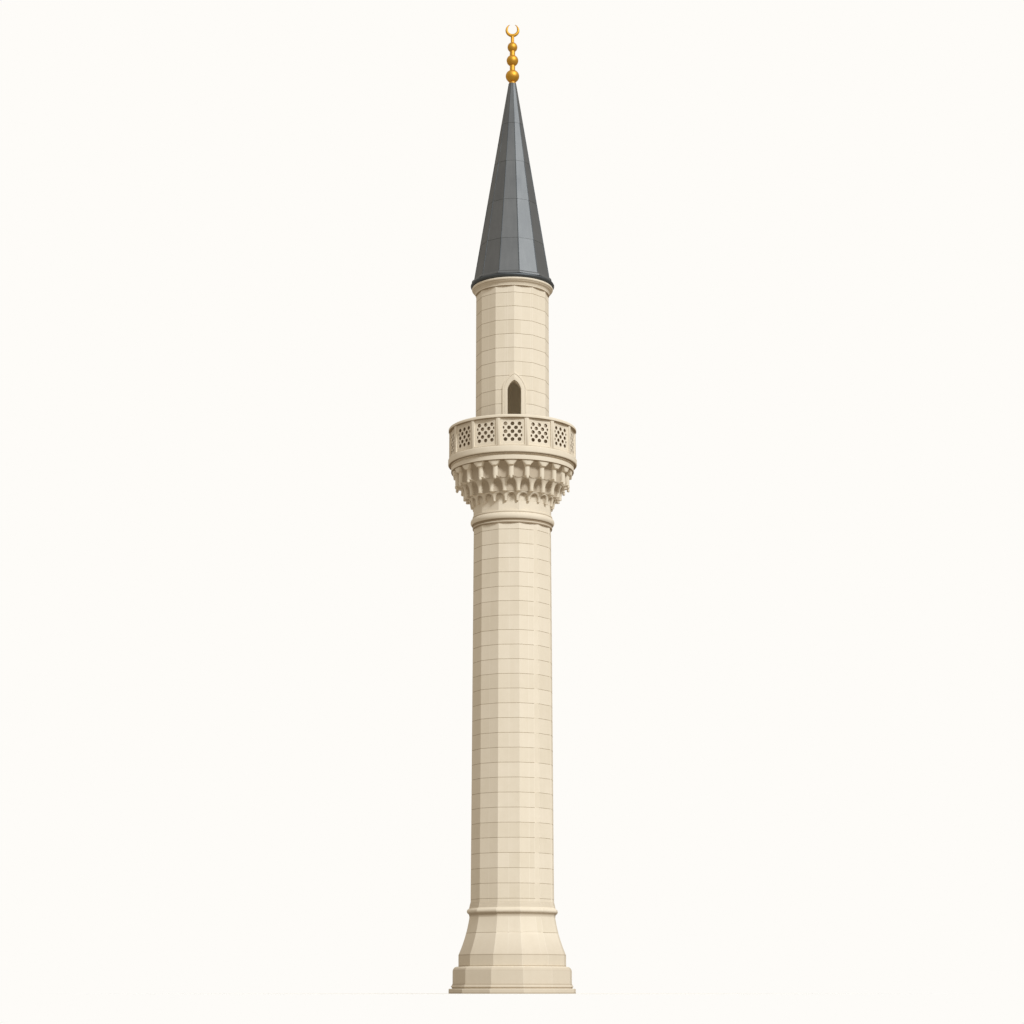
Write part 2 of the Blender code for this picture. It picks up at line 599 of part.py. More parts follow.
def crescent_outline():
    """Two arcs that meet in the horns, open at the top, with a foot on the stem."""
    horn = math.radians(46)
    inner_horn = math.radians(42)
    outline = []
    for step in range(CRESCENT_STEPS + 1):
        angle = math.pi / 2 + horn / 2 + (math.tau - horn) * step / CRESCENT_STEPS
        height = CRESCENT_HEIGHT + CRESCENT_RADIUS * math.sin(angle)
        outline.append((CRESCENT_RADIUS * math.cos(angle), max(height, STEM_TOP + GAP)))
    for step in range(CRESCENT_STEPS + 1):
        angle = math.pi / 2 - inner_horn / 2 - (math.tau - inner_horn) * step / CRESCENT_STEPS
        outline.append((CRESCENT_INNER_RADIUS * math.cos(angle),
                        CRESCENT_HEIGHT + CRESCENT_SHIFT + CRESCENT_INNER_RADIUS * math.sin(angle)))
    return outline


clear_scene()
make_foot()
make_shaft()
make_corbels()
make_balcony()
make_drum()
make_roof()
make_finial()
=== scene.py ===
import math
import random

import bmesh
import bpy
from mathutils import Matrix, Vector


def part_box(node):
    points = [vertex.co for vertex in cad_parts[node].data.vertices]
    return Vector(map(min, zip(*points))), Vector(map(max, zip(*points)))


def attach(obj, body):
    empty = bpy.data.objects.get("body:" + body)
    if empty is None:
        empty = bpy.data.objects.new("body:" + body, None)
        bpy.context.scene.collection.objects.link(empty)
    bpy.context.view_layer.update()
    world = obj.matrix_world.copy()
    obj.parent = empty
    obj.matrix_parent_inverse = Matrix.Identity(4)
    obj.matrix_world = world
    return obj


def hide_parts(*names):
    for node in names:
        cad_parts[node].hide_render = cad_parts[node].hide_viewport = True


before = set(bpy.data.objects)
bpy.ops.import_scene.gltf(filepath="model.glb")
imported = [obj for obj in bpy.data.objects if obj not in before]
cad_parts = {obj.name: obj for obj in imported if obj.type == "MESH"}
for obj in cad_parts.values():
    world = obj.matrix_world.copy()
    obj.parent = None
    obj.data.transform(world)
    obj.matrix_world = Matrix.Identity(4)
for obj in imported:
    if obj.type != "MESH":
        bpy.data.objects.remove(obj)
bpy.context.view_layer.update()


# Camera: a long lens close to the ground, far in front of the tower and tilted up, so that the
# foot is seen level and the balcony and the eaves from below.
CAMERA_PLACE = (-0.016, -73.496, 0.0829)
CAMERA_PITCH = math.radians(102.283)
CAMERA_LENS = 77.34

camera_data = bpy.data.cameras.new("camera")
camera_data.lens = CAMERA_LENS
camera_data.sensor_width = 36.0
camera_data.clip_end = 500.0
camera = bpy.data.objects.new("camera", camera_data)
camera.location = CAMERA_PLACE
camera.rotation_euler = (CAMERA_PITCH, 0.0, 0.0)
bpy.context.scene.collection.objects.link(camera)
bpy.context.scene.camera = camera
bpy.context.scene.view_settings.view_transform = "Standard"


# Light: a soft warm studio dome that is dimmer below the horizon, and one large soft key light
# high on the right. The camera sees the dome as an even off-white.
BACKDROP = (0.991, 0.973, 0.939)
DOME_LOW = (0.44, 0.385, 0.31)
DOME_LEVEL = (0.56, 0.51, 0.435)
DOME_TOP = (0.66, 0.61, 0.54)
KEY_COLOUR = (0.96, 1.0, 1.02)
KEY_STRENGTH = 2.5
KEY_AZIMUTH = math.radians(33.0)
KEY_HEIGHT = math.radians(33.0)
KEY_SOFTNESS = math.radians(13.0)

world = bpy.data.worlds.new("studio")
bpy.context.scene.world = world
world.use_nodes = True
tree = world.node_tree
tree.nodes.clear()
direction = tree.nodes.new("ShaderNodeTexCoord")
split = tree.nodes.new("ShaderNodeSeparateXYZ")
tree.links.new(direction.outputs["Generated"], split.inputs[0])
height = tree.nodes.new("ShaderNodeMapRange")
height.inputs["From Min"].default_value = -1.0
tree.links.new(split.outputs["Z"], height.inputs["Value"])
dome = tree.nodes.new("ShaderNodeValToRGB")
dome.color_ramp.elements[0].position = 0.35
dome.color_ramp.elements[0].color = (*DOME_LOW, 1.0)
dome.color_ramp.elements[1].position = 1.0
dome.color_ramp.elements[1].color = (*DOME_TOP, 1.0)
dome.color_ramp.elements.new(0.52).color = (*DOME_LEVEL, 1.0)
tree.links.new(height.outputs["Result"], dome.inputs["Fac"])
seen = tree.nodes.new("ShaderNodeLightPath")
choose = tree.nodes.new("ShaderNodeMix")
choose.data_type = "RGBA"
choose.inputs[7].default_value = (*BACKDROP, 1.0)
tree.links.new(seen.outputs["Is Camera Ray"], choose.inputs["Factor"])
tree.links.new(dome.outputs["Color"], choose.inputs[6])
sky = tree.nodes.new("ShaderNodeBackground")
tree.links.new(choose.outputs[2], sky.inputs["Color"])
tree.links.new(sky.outputs[0], tree.nodes.new("ShaderNodeOutputWorld").inputs["Surface"])

key_data = bpy.data.lights.new("key_light", "SUN")
key_data.color = KEY_COLOUR
key_data.energy = KEY_STRENGTH
key_data.angle = KEY_SOFTNESS
key = bpy.data.objects.new("key_light", key_data)
key.rotation_euler = (math.pi / 2 - KEY_HEIGHT, 0.0, KEY_AZIMUTH)
bpy.context.scene.collection.objects.link(key)


# Floor: a pale round studio floor that fades out at its rim. It catches the tower's shadow but
# throws no light back up, because the dome already stands for that.
FLOOR_RADIUS = 16.0
FLOOR_FADE_START = 4.0
FLOOR_COLOUR = (0.80, 0.78, 0.74)
FLOOR_GLOW = (0.17, 0.17, 0.17)

bm = bmesh.new()
bmesh.ops.create_circle(bm, cap_ends=True, segments=96, radius=FLOOR_RADIUS)
floor_mesh = bpy.data.meshes.new("studio_floor")
bm.to_mesh(floor_mesh)
bm.free()
floor = bpy.data.objects.new("studio_floor", floor_mesh)
floor.location.z = -0.002
floor.visible_diffuse = False
bpy.context.scene.collection.objects.link(floor)
floor_finish = bpy.data.materials.new("studio_floor")
floor_finish.use_nodes = True
tree = floor_finish.node_tree
shader = tree.nodes["Principled BSDF"]
shader.inputs["Base Color"].default_value = (*FLOOR_COLOUR, 1.0)
shader.inputs["Roughness"].default_value = 0.9
shader.inputs["Specular IOR Level"].default_value = 0.0
shader.inputs["Emission Color"].default_value = (*FLOOR_GLOW, 1.0)
shader.inputs["Emission Strength"].default_value = 1.0
place_on_floor = tree.nodes.new("ShaderNodeTexCoord")
reach = tree.nodes.new("ShaderNodeVectorMath")
reach.operation = "LENGTH"
tree.links.new(place_on_floor.outputs["Object"], reach.inputs[0])
fade = tree.nodes.new("ShaderNodeMapRange")
fade.inputs["From Min"].default_value = FLOOR_FADE_START
fade.inputs["From Max"].default_value = FLOOR_RADIUS
fade.inputs["To Min"].default_value = 1.0
fade.inputs["To Max"].default_value = 0.0
fade.interpolation_type = "SMOOTHSTEP"
tree.links.new(reach.outputs["Value"], fade.inputs["Value"])
tree.links.new(fade.outputs["Result"], shader.inputs["Alpha"])
floor_mesh.materials.append(floor_finish)


# Foot: five twelve-sided courses of limestone, stacked dry-jointed from the ground slab up to the
# upper die. Each is turned from a moulding profile and its arrises are eased with a chisel.
SIDES = 12
SIDE_ANGLE = math.tau / SIDES
TOWER_TURN = math.radians(10.0)
WELL_RADIUS = 0.98
ARRIS_WIDTH = 0.012
CREASE = 12.0
SLAB_RADIUS = 2.11
SLAB_BEVEL = 0.022
MOULDING_RADIUS = 2.03
LOWER_DIE_RADIUS = 1.98
UPPER_DIE_RADIUS = 1.79
SHOULDER_RADIUS = 0.16
STONE_LIGHT = (0.80, 0.72, 0.60)
STONE_DARK = (0.70, 0.62, 0.495)
STONE_WEAR_AND_HIGHLIGHT = (0.87, 0.80, 0.69)
MORTAR = (0.49, 0.415, 0.305)
# The dark brown that painted shade mixes into the stone.
SHADE_PAINT = (0.30, 0.225, 0.145)
# Painted light: a faint glow that lights the well's interior behind the doorway, with no lamp there.
INSIDE_PAINTED_LIGHT = (0.0264, 0.0231, 0.0166)
# Painted shade: the foot courses are painted a little darker, as the ground shades them, with darker lines
# where parts meet.
GROUND_SHADE = 0.2
CORNER_SHADE = 0.6


def node(tree, kind, **settings):
    """A shader node with some of its settings."""
    made = tree.nodes.new("ShaderNode" + kind)
    for setting, value in settings.items():
        setattr(made, setting, value)
    return made


def noise(tree, coordinates, scale, detail, roughness=0.55):
    """A noise pattern, read from 0 to 1."""
    made = node(tree, "TexNoise")
    made.inputs["Scale"].default_value = scale
    made.inputs["Detail"].default_value = detail
    made.inputs["Roughness"].default_value = roughness
    tree.links.new(coordinates, made.inputs["Vector"])
    return made.outputs["Fac"]


def stretched(tree, coordinates, scale):
    """Coordinates stretched for streaks."""
    made = node(tree, "Mapping")
    made.inputs["Scale"].default_value = scale
    tree.links.new(coordinates, made.inputs["Vector"])
    return made.outputs["Vector"]


def weighted(tree, parts, offset=0.0):
    """The sum of some values, each times its weight, plus an offset."""
    total = None
    for value, weight in parts:
        step = node(tree, "Math", operation="MULTIPLY_ADD")
        tree.links.new(value, step.inputs[0])
        step.inputs[1].default_value = weight
        if total is None:
            step.inputs[2].default_value = offset
        else:
            tree.links.new(total, step.inputs[2])
        total = step.outputs[0]
    return total


def blended(tree, share, first, second):
    """Two colours mixed; each is a colour or a socket."""
    made = node(tree, "Mix", data_type="RGBA")
    tree.links.new(share, made.inputs[0])
    for socket, colour in ((made.inputs[6], first), (made.inputs[7], second)):
        if isinstance(colour, bpy.types.NodeSocket):
            tree.links.new(colour, socket)
        else:
            socket.default_value = (*colour, 1.0)
    return made.outputs[2]


def carried(tree, name):
    """A value that the mesh carries; it reads 0 where the mesh has none."""
    return node(tree, "Attribute", attribute_name=name).outputs["Fac"]


def limestone(name, light, dark):
    """Fine pale limestone: clouded, finely grained, rubbed arrises, darker joints, painted shade, highlight
    and glow.
    """
    finish = bpy.data.materials.new(name)
    finish.use_nodes = True
    tree = finish.node_tree
    shader = tree.nodes["Principled BSDF"]
    shader.inputs["Roughness"].default_value = 0.88
    shader.inputs["Specular IOR Level"].default_value = 0.25
    where = node(tree, "TexCoord").outputs["Object"]
    clouds = noise(tree, where, 0.45, 3.0)
    mottle = noise(tree, where, 4.0, 6.0, 0.62)
    grain = noise(tree, where, 55.0, 4.0, 0.7)
    streaks = noise(tree, stretched(tree, where, (5.0, 5.0, 0.3)), 1.0, 4.0)
    share = weighted(tree, [(clouds, 0.9), (mottle, 0.55), (grain, 0.5), (streaks, 0.45),
                            (carried(tree, "tone"), 0.24)], -0.70)
    colour = blended(tree, share, dark, light)
    # Lighter stone where arrises are rubbed, and a painted highlight where a face is marked as lit.
    colour = blended(tree, weighted(tree, [(carried(tree, "wear_and_highlight"), 0.55)]), colour, STONE_WEAR_AND_HIGHLIGHT)
    colour = blended(tree, carried(tree, "joint"), colour, MORTAR)
    # Painted shade: the stone turns towards a dark brown where the mesh carries a share of it.
    colour = blended(tree, carried(tree, "painted_shade"), colour, SHADE_PAINT)
    tree.links.new(colour, shader.inputs["Base Color"])
    # Painted light: a faint glow where the mesh marks the interior of the well.
    shader.inputs["Emission Color"].default_value = (*INSIDE_PAINTED_LIGHT, 1.0)
    tree.links.new(carried(tree, "painted_inner_light"), shader.inputs["Emission Strength"])
    bump = node(tree, "Bump")
    bump.inputs["Strength"].default_value = 0.35
    bump.inputs["Distance"].default_value = 0.006
    tree.links.new(weighted(tree, [(mottle, 0.6), (grain, 0.4)]), bump.inputs["Height"])
    tree.links.new(bump.outputs["Normal"], shader.inputs["Normal"])
    return finish


def polar(radius, angle, height):
    """A point at an angle counted from the front towards +X."""
    return Vector((radius * math.sin(angle), -radius * math.cos(angle), height))


def angle_of(point):
    """The angle of a point, counted as in polar."""
    return math.atan2(point.x, -point.y)


def arc(radius, height, reach, start, end, steps):
    """Profile points on an arc; degrees run from the outward direction upwards."""
    angles = [math.radians(start + (end - start) * step / steps) for step in range(steps + 1)]
    return [(radius + reach * math.cos(angle), height + reach * math.sin(angle)) for angle in angles]


def turned(profile, sides, turn=0.0):
    """A closed profile of (radius, height) points spun round the tower's axis."""
    bm = bmesh.new()
    verts = [bm.verts.new(polar(radius, turn, height)) for radius, height in profile]
    edges = [bm.edges.new(pair) for pair in zip(verts, verts[1:] + verts[:1])]
    bmesh.ops.spin(bm, geom=verts + edges, cent=(0, 0, 0), axis=(0, 0, 1), angle=math.tau,
                   steps=sides, use_merge=True)
    bmesh.ops.remove_doubles(bm, verts=bm.verts, dist=1e-5)
    bmesh.ops.recalc_face_normals(bm, faces=bm.faces)
    return bm


def ease_arrises(bm, width=ARRIS_WIDTH):
    """Take the outer upright edges off with a small chamfer and mark it as rubbed, so that it shows lighter.
    """
    arrises = []
    for edge in bm.edges:
        first, second = (vert.co for vert in edge.verts)
        if min(first.xy.length, second.xy.length) < WELL_RADIUS + 0.05:
            continue
        if abs(angle_of(first) - angle_of(second)) < 1e-4 and (first - second).length > width:
            arrises.append(edge)
    wear_and_highlight = bm.faces.layers.float.get("wear_and_highlight") or bm.faces.layers.float.new("wear_and_highlight")
    made = bmesh.ops.bevel(bm, geom=arrises, offset=width / 2, offset_type="OFFSET", segments=1,
                           profile=0.5, affect="EDGES", material=-1, clamp_overlap=True)
    for face in made["faces"]:
        face[wear_and_highlight] = 1.0


def paint_shade(bm, share, low=-1.0, high=100.0):
    """Paint shade on the outside of a piece between two levels, as under a moulding or in a corner."""
    painted_shade = bm.verts.layers.float.get("painted_shade") or bm.verts.layers.float.new("painted_shade")
    for vert in bm.verts:
        if low <= vert.co.z <= high and vert.co.xy.length > WELL_RADIUS + 0.05:
            vert[painted_shade] = share


def set_piece(bm, name, finish, nodes=(), crease=None):
    """Make a finished mesh a piece of the tower, standing for some of its solids."""
    mesh = bpy.data.meshes.new(name)
    bm.to_mesh(mesh)
    bm.free()
    if crease is not None:
        mesh.shade_smooth()
        mesh.set_sharp_from_angle(angle=math.radians(crease))
    mesh.materials.append(finish)
    piece = bpy.data.objects.new(name, mesh)
    bpy.context.scene.collection.objects.link(piece)
    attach(piece, "root")
    if nodes:
        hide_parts(*nodes)
    return piece


def levels(name):
    """The lowest and highest level of a solid."""
    low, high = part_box(name)
    return low.z, high.z


carved_stone = limestone("carved_limestone", STONE_LIGHT, STONE_DARK)

foot, head = levels("ground_slab")
bm = turned([(0.0, foot), (SLAB_RADIUS, foot), (SLAB_RADIUS, foot + 0.02), (SLAB_RADIUS, foot + 0.05),
             (SLAB_RADIUS, head - SLAB_BEVEL), (SLAB_RADIUS - SLAB_BEVEL, head), (0.0, head)],
            SIDES, TOWER_TURN)
ease_arrises(bm)
# Painted shade: the whole slab a little darker, and a dark line at its foot where it meets the ground.
paint_shade(bm, GROUND_SHADE)
paint_shade(bm, CORNER_SHADE, foot, foot + 0.02)
set_piece(bm, "ground_course", carved_stone, ["ground_slab"], CREASE)

foot, head = levels("plinth_moulding")
profile = [(WELL_RADIUS, foot), (MOULDING_RADIUS - 0.03, foot), (MOULDING_RADIUS - 0.03, foot + 0.03)]
profile += arc(MOULDING_RADIUS - 0.03, foot + 0.065, 0.03, -80, 70, 12)
profile += [(LOWER_DIE_RADIUS + 0.01, head - 0.02), (LOWER_DIE_RADIUS, head), (WELL_RADIUS, head)]
bm = turned(profile, SIDES, TOWER_TURN)
ease_arrises(bm)
# Painted shade: the whole course a little darker, with dark lines under the roll and at its head.
paint_shade(bm, GROUND_SHADE)
paint_shade(bm, CORNER_SHADE, foot, foot + 0.031)
paint_shade(bm, CORNER_SHADE, head - 0.021, head)
set_piece(bm, "plinth_course", carved_stone, ["plinth_moulding"], CREASE)

foot, head = levels("lower_die")
shoulder = head - SHOULDER_RADIUS
profile = [(WELL_RADIUS, foot), (LOWER_DIE_RADIUS, foot), (LOWER_DIE_RADIUS, shoulder)]
profile += arc(LOWER_DIE_RADIUS - SHOULDER_RADIUS, shoulder, SHOULDER_RADIUS, 8, 72, 8)
profile += [(UPPER_DIE_RADIUS, head), (WELL_RADIUS, head)]
bm = turned(profile, SIDES, TOWER_TURN)
ease_arrises(bm)
# Painted shade: the face a little darker, and the lower part of the rounded shoulder darker still, to tone
# down its lit gradient.
paint_shade(bm, GROUND_SHADE, foot, shoulder)
paint_shade(bm, GROUND_SHADE * 1.6, shoulder + 0.001, shoulder + SHOULDER_RADIUS * 0.8)
set_piece(bm, "lower_die_course", carved_stone, ["lower_die"], CREASE)


# Splay and shafts: coursed ashlar, two faces to a block, laid with narrow mortar joints that are
# cut back from the face. The upright joints step from course to course.
JOINT_WIDTH = 0.016
JOINT_DEPTH = 0.009
SPLAY_TOP_RADIUS = 1.434
SPLAY_SLOPE = 0.1544
SPLAY_CURVE = 0.1173
SPLAY_JOINT = 1.931
SHAFT_FOOT_RADIUS = 1.396
SHAFT_HEAD_RADIUS = 1.339
SHAFT_FIRST_JOINT = 3.013
SHAFT_COURSE = 0.4885
MIDDLE = 0.5
SPLAY_SHADE = 0.26


def ashlar(turn, radius_at, rings, beds, uprights, seed):
    """A hollow twelve-sided wall of blocks.

    The rings are the heights of its edge loops, the beds those that are joints. The uprights
    give, for even and odd courses, the side and the share of its width where each joint stands.
    """
    bm = bmesh.new()
    start = bm.verts.new(polar(radius_at(rings[0]), turn, rings[0]))
    bmesh.ops.spin(bm, geom=[start], cent=(0, 0, 0), axis=(0, 0, 1), angle=math.tau,
                   steps=SIDES, use_merge=True)
    bmesh.ops.remove_doubles(bm, verts=bm.verts, dist=1e-5)
    corners = sorted(bm.verts, key=lambda vert: (angle_of(vert.co) - turn + 1e-3) % math.tau)
    stands = ([], [])
    shares = {}
    for parity, places in enumerate(uprights):
        for side, share in places:
            shares.setdefault(side, {}).setdefault(share, []).append(parity)
    for side, found in shares.items():
        last, end = corners[side], corners[(side + 1) % SIDES]
        done = 0.0
        for share in sorted(found):
            edge = next(e for e in last.link_edges if end in e.verts)
            last = bmesh.utils.edge_split(edge, last, (share - done) / (1.0 - done))[1]
            done = share
            for parity in found[share]:
                stands[parity].append(angle_of(last.co))

    ring = list(bm.edges)
    outline = list(ring)
    for low, high in zip(rings, rings[1:]):
        ring = raise_ring(bm, ring, radius_at(high) / radius_at(low), high)
    ring = raise_ring(bm, ring, WELL_RADIUS / radius_at(rings[-1]), rings[-1])
    ring = raise_ring(bm, ring, 1.0, rings[0])
    bmesh.ops.bridge_loops(bm, edges=outline + ring)
    bmesh.ops.recalc_face_normals(bm, faces=bm.faces)
    ease_arrises(bm)

    def course_at(level):
        return sum(level > bed for bed in beds)

    def on_bed(vert):
        return any(abs(vert.co.z - bed) < 0.001 for bed in beds)

    def on_upright(vert, course):
        angle = angle_of(vert.co)
        return any(abs((angle - stand + math.pi) % math.tau - math.pi) < 2e-4
                   for stand in stands[course % 2])

    joints = []
    for edge in bm.edges:
        first, second = edge.verts
        if min(first.co.xy.length, second.co.xy.length) < WELL_RADIUS + 0.05:
            continue
        if abs(first.co.z - second.co.z) < 1e-5:
            if on_bed(first):
                joints.append(edge)
        else:
            course = course_at((first.co.z + second.co.z) / 2)
            if on_upright(first, course) and on_upright(second, course):
                joints.append(edge)
    tone = bm.faces.layers.float.new("tone")
    joint = bm.faces.layers.float.new("joint")
    made = bmesh.ops.bevel(bm, geom=joints, offset=JOINT_WIDTH / 2, offset_type="OFFSET", segments=2,
                           profile=0.5, affect="EDGES", material=-1, clamp_overlap=True)
    for face in made["faces"]:
        face[joint] = 1.0
    for vert in bm.verts:
        reach = vert.co.xy.length
        if reach < WELL_RADIUS + 0.05 or vert.co.z < rings[0] + 1e-3 or vert.co.z > rings[-1] - 1e-3:
            continue
        if on_bed(vert) or on_upright(vert, course_at(vert.co.z)):
            vert.co.xy *= (reach - JOINT_DEPTH) / reach
    for face in bm.faces:
        middle = face.calc_center_median()
        course = course_at(middle.z)
        around = (angle_of(middle) - turn) % math.tau
        block = sum(around > (stand - turn) % math.tau for stand in stands[course % 2])
        block %= max(1, len(stands[course % 2]))
        face[tone] = random.Random(seed + 40 * course + block).uniform(-1.0, 1.0)
    return bm


def raise_ring(bm, ring, grow, level):
    """Extrude a ring of edges to another width and level."""
    made = bmesh.ops.extrude_edge_only(bm, edges=ring)["geom"]
    verts = {item for item in made if isinstance(item, bmesh.types.BMVert)}
    for vert in verts:
        vert.co = Vector((vert.co.x * grow, vert.co.y * grow, level))
    return [item for item in made if isinstance(item, bmesh.types.BMEdge)
            and item.verts[0] in verts and item.verts[1] in verts]


def splay_radius(level):
    drop = levels("base_splay")[1] - level
    return SPLAY_TOP_RADIUS + SPLAY_SLOPE * drop + SPLAY_CURVE * drop ** 2


def shaft_radius(level):
    low, high = levels("shaft_wall_1")
    return SHAFT_FOOT_RADIUS + (SHAFT_HEAD_RADIUS - SHAFT_FOOT_RADIUS) * (level - low) / (high - low)


def upper_die_radius(level):
    return UPPER_DIE_RADIUS


def steps_between(low, high, count):
    return [low + (high - low) * step / count for step in range(count)]


wall_stone = limestone("ashlar_limestone", STONE_LIGHT, STONE_DARK)
SHAFT_UPRIGHTS = ([(10, MIDDLE), (0, 0.47), (1, 0.9), (3, MIDDLE), (5, MIDDLE), (8, MIDDLE)],
                  [(11, MIDDLE), (0, 0.74), (2, MIDDLE), (4, MIDDLE), (6, MIDDLE), (8, 0.9)])

foot, head = levels("upper_die")
rings = [foot, foot + 0.02, foot + 0.04, head - 0.035, head - 0.015, head]
bm = ashlar(TOWER_TURN, upper_die_radius, rings, [], ([], []), 1)
# Painted shade: a little darker all over, with dark lines at its foot and head.
paint_shade(bm, GROUND_SHADE * 0.7)
paint_shade(bm, CORNER_SHADE, foot, foot + 0.021)
paint_shade(bm, CORNER_SHADE, head - 0.016, head)
set_piece(bm, "upper_die_course", wall_stone, ["upper_die"])

foot, head = levels("base_splay")
rings = steps_between(foot, SPLAY_JOINT, 12) + steps_between(SPLAY_JOINT, head, 9) + [head]
bm = ashlar(TOWER_TURN, splay_radius, rings, [SPLAY_JOINT], ([], SHAFT_UPRIGHTS[1]), 2)
# Painted shade: the lower course of the splay grows darker towards its foot.
for ring in rings[:12]:
    drop = (SPLAY_JOINT - ring) / (SPLAY_JOINT - foot)
    paint_shade(bm, SPLAY_SHADE * drop, ring - 0.01, ring + 0.01)
set_piece(bm, "splay_courses", wall_stone, ["base_splay"])

foot, head = levels("shaft_wall_1")
beds = []
while SHAFT_FIRST_JOINT + SHAFT_COURSE * len(beds) < head - 0.1:
    beds.append(SHAFT_FIRST_JOINT + SHAFT_COURSE * len(beds))
bm = ashlar(TOWER_TURN, shaft_radius, [foot] + beds + [head], beds, SHAFT_UPRIGHTS, 3)
set_piece(bm, "shaft_courses", wall_stone,
          [f"shaft_wall_{number}" for number in range(1, 7)])


# Rings: two string courses round the shaft. The lower one follows the twelve sides, the upper one
# is turned round, and the plain neck stands on it.
ROUND = 120
LOWER_NOSE = 0.09
LOWER_NOSE_HEIGHT = 2.625
LOWER_RING_RADIUS = 1.52
UPPER_NOSE = 0.14
UPPER_NOSE_HEIGHT = 15.68
UPPER_RING_RADIUS = 1.43
NECK_RADIUS = 1.35
FILLETS = 4

foot, head = levels("lower_ring")
profile = [(WELL_RADIUS, foot), (SPLAY_TOP_RADIUS, foot), (SPLAY_TOP_RADIUS + 0.01, foot + 0.08)]
profile += arc(LOWER_RING_RADIUS - LOWER_NOSE, LOWER_NOSE_HEIGHT, LOWER_NOSE, -68, 68, 14)
fillet_foot = LOWER_NOSE_HEIGHT + 0.105
fillet_height = (head - fillet_foot) / FILLETS
for number in range(FILLETS):
    radius = SHAFT_FOOT_RADIUS + 0.01 * (FILLETS - number)
    low = fillet_foot + fillet_height * number
    profile += [(radius + 0.004, low + 0.006), (radius + 0.002, low + fillet_height)]
profile += [(WELL_RADIUS, head)]
bm = turned(profile, SIDES, TOWER_TURN)
ease_arrises(bm)
# Painted shade: the hollow under the roll and its lower half darkened, and a dark line at every fillet.
paint_shade(bm, CORNER_SHADE * 0.4, LOWER_NOSE_HEIGHT - 0.062, LOWER_NOSE_HEIGHT - 0.01)
paint_shade(bm, CORNER_SHADE * 0.8, LOWER_NOSE_HEIGHT - 0.062, LOWER_NOSE_HEIGHT - 0.04)
paint_shade(bm, CORNER_SHADE, foot + 0.05, LOWER_NOSE_HEIGHT - 0.062)
for number in range(FILLETS + 1):
    level = fillet_foot + fillet_height * number
    paint_shade(bm, CORNER_SHADE * 0.5, level - 0.001, level + 0.001)
set_piece(bm, "lower_string_course", carved_stone, ["lower_ring"], CREASE)

foot, head = levels("upper_ring")
profile = [(WELL_RADIUS, foot), (SHAFT_HEAD_RADIUS + 0.012, foot), (SHAFT_HEAD_RADIUS + 0.02, foot + 0.02),
           (SHAFT_HEAD_RADIUS + 0.02, foot + 0.06), (SHAFT_HEAD_RADIUS + 0.006, foot + 0.075)]
profile += arc(UPPER_RING_RADIUS - UPPER_NOSE, UPPER_NOSE_HEIGHT, UPPER_NOSE, -62, 62, 16)
profile += [(NECK_RADIUS + 0.015, head - 0.07), (NECK_RADIUS + 0.015, head - 0.03),
            (NECK_RADIUS + 0.006, head - 0.02), (NECK_RADIUS + 0.006, head), (WELL_RADIUS, head)]
bm = turned(profile, ROUND)
# Painted shade: the foot, the part under the roll and a line near the head are darkened.
paint_shade(bm, 0.9, foot, foot + 0.021)
paint_shade(bm, 0.9, foot + 0.074, UPPER_NOSE_HEIGHT - 0.095)
paint_shade(bm, CORNER_SHADE, head - 0.071, head - 0.069)
set_piece(bm, "upper_string_course", carved_stone, ["upper_ring"], 28)

foot, head = levels("corbel_neck")
neck_head = levels("lower_corbel_tier")[1]


def neck_radius(level):
    return NECK_RADIUS


bm = ashlar(TOWER_TURN, neck_radius, [foot, head], [], ([], []), 5)
set_piece(bm, "neck_course", wall_stone, ["corbel_neck"])


# Corbels: three overhanging tiers of stone with hanging pendants, twenty-two to a tier, cut from
# the solid rings. Each pendant spreads upwards like a trumpet, and neighbours meet in an arch.
PENDANTS = 22
PENDANT_ANGLE = math.tau / PENDANTS
PENDANT_TURN = math.radians(-1.4)
NICHE_STEPS = 5
PENDANT_STEPS = 10
BUD_SIDES = 16
# Painted shade in the niches between the pendants and along their cheeks, and on the pendants' fronts where
# the tier above shades them.
HOLLOW_SHADE = 0.52
NECK_SHADE = 0.8


def bay_row(rod, front, side, back, levels_at, bluntness=1.0, shading=(1.0, 1.0), face=(0.0, 0.0)):
    """One row of a bay: half a niche, the rounded front of a pendant, half a niche.

    The rod is half the pendant's width as a share of the bay. The three radii are the pendant's
    front, the cheek where it meets the niche, and the niche's deepest point. The levels are those
    of the pendant, the cheek and the niche's middle. The shading is the painted shade of the
    niche's middle and of the cheek, and the face gives the painted shade on the pendant's front,
    in its middle and at its edges.
    """
    rod_level, cheek_level, niche_level = levels_at
    deep, near = shading
    points = []
    for step in range(NICHE_STEPS):
        turn = math.pi / 2 * step / NICHE_STEPS
        points.append((-0.5 + (0.5 - rod) * math.sin(turn), side - (side - back) * math.cos(turn) ** 0.6,
                       niche_level + (cheek_level - niche_level) * math.sin(turn) ** 2,
                       deep + (near - deep) * (step / NICHE_STEPS) ** 3))
    points.append((-rod, side, cheek_level, near))
    for step in range(PENDANT_STEPS + 1):
        turn = math.pi * (step / PENDANT_STEPS - 0.5)
        points.append((rod * math.sin(turn) * 0.999,
                       side + (front - side) * max(0.0, math.cos(turn)) ** bluntness, rod_level,
                       face[0] + (face[1] - face[0]) * math.sin(turn) ** 2))
    points.append((rod, side, cheek_level, near))
    points += [(-share, *rest) for share, *rest in reversed(points[1:NICHE_STEPS])]
    return points


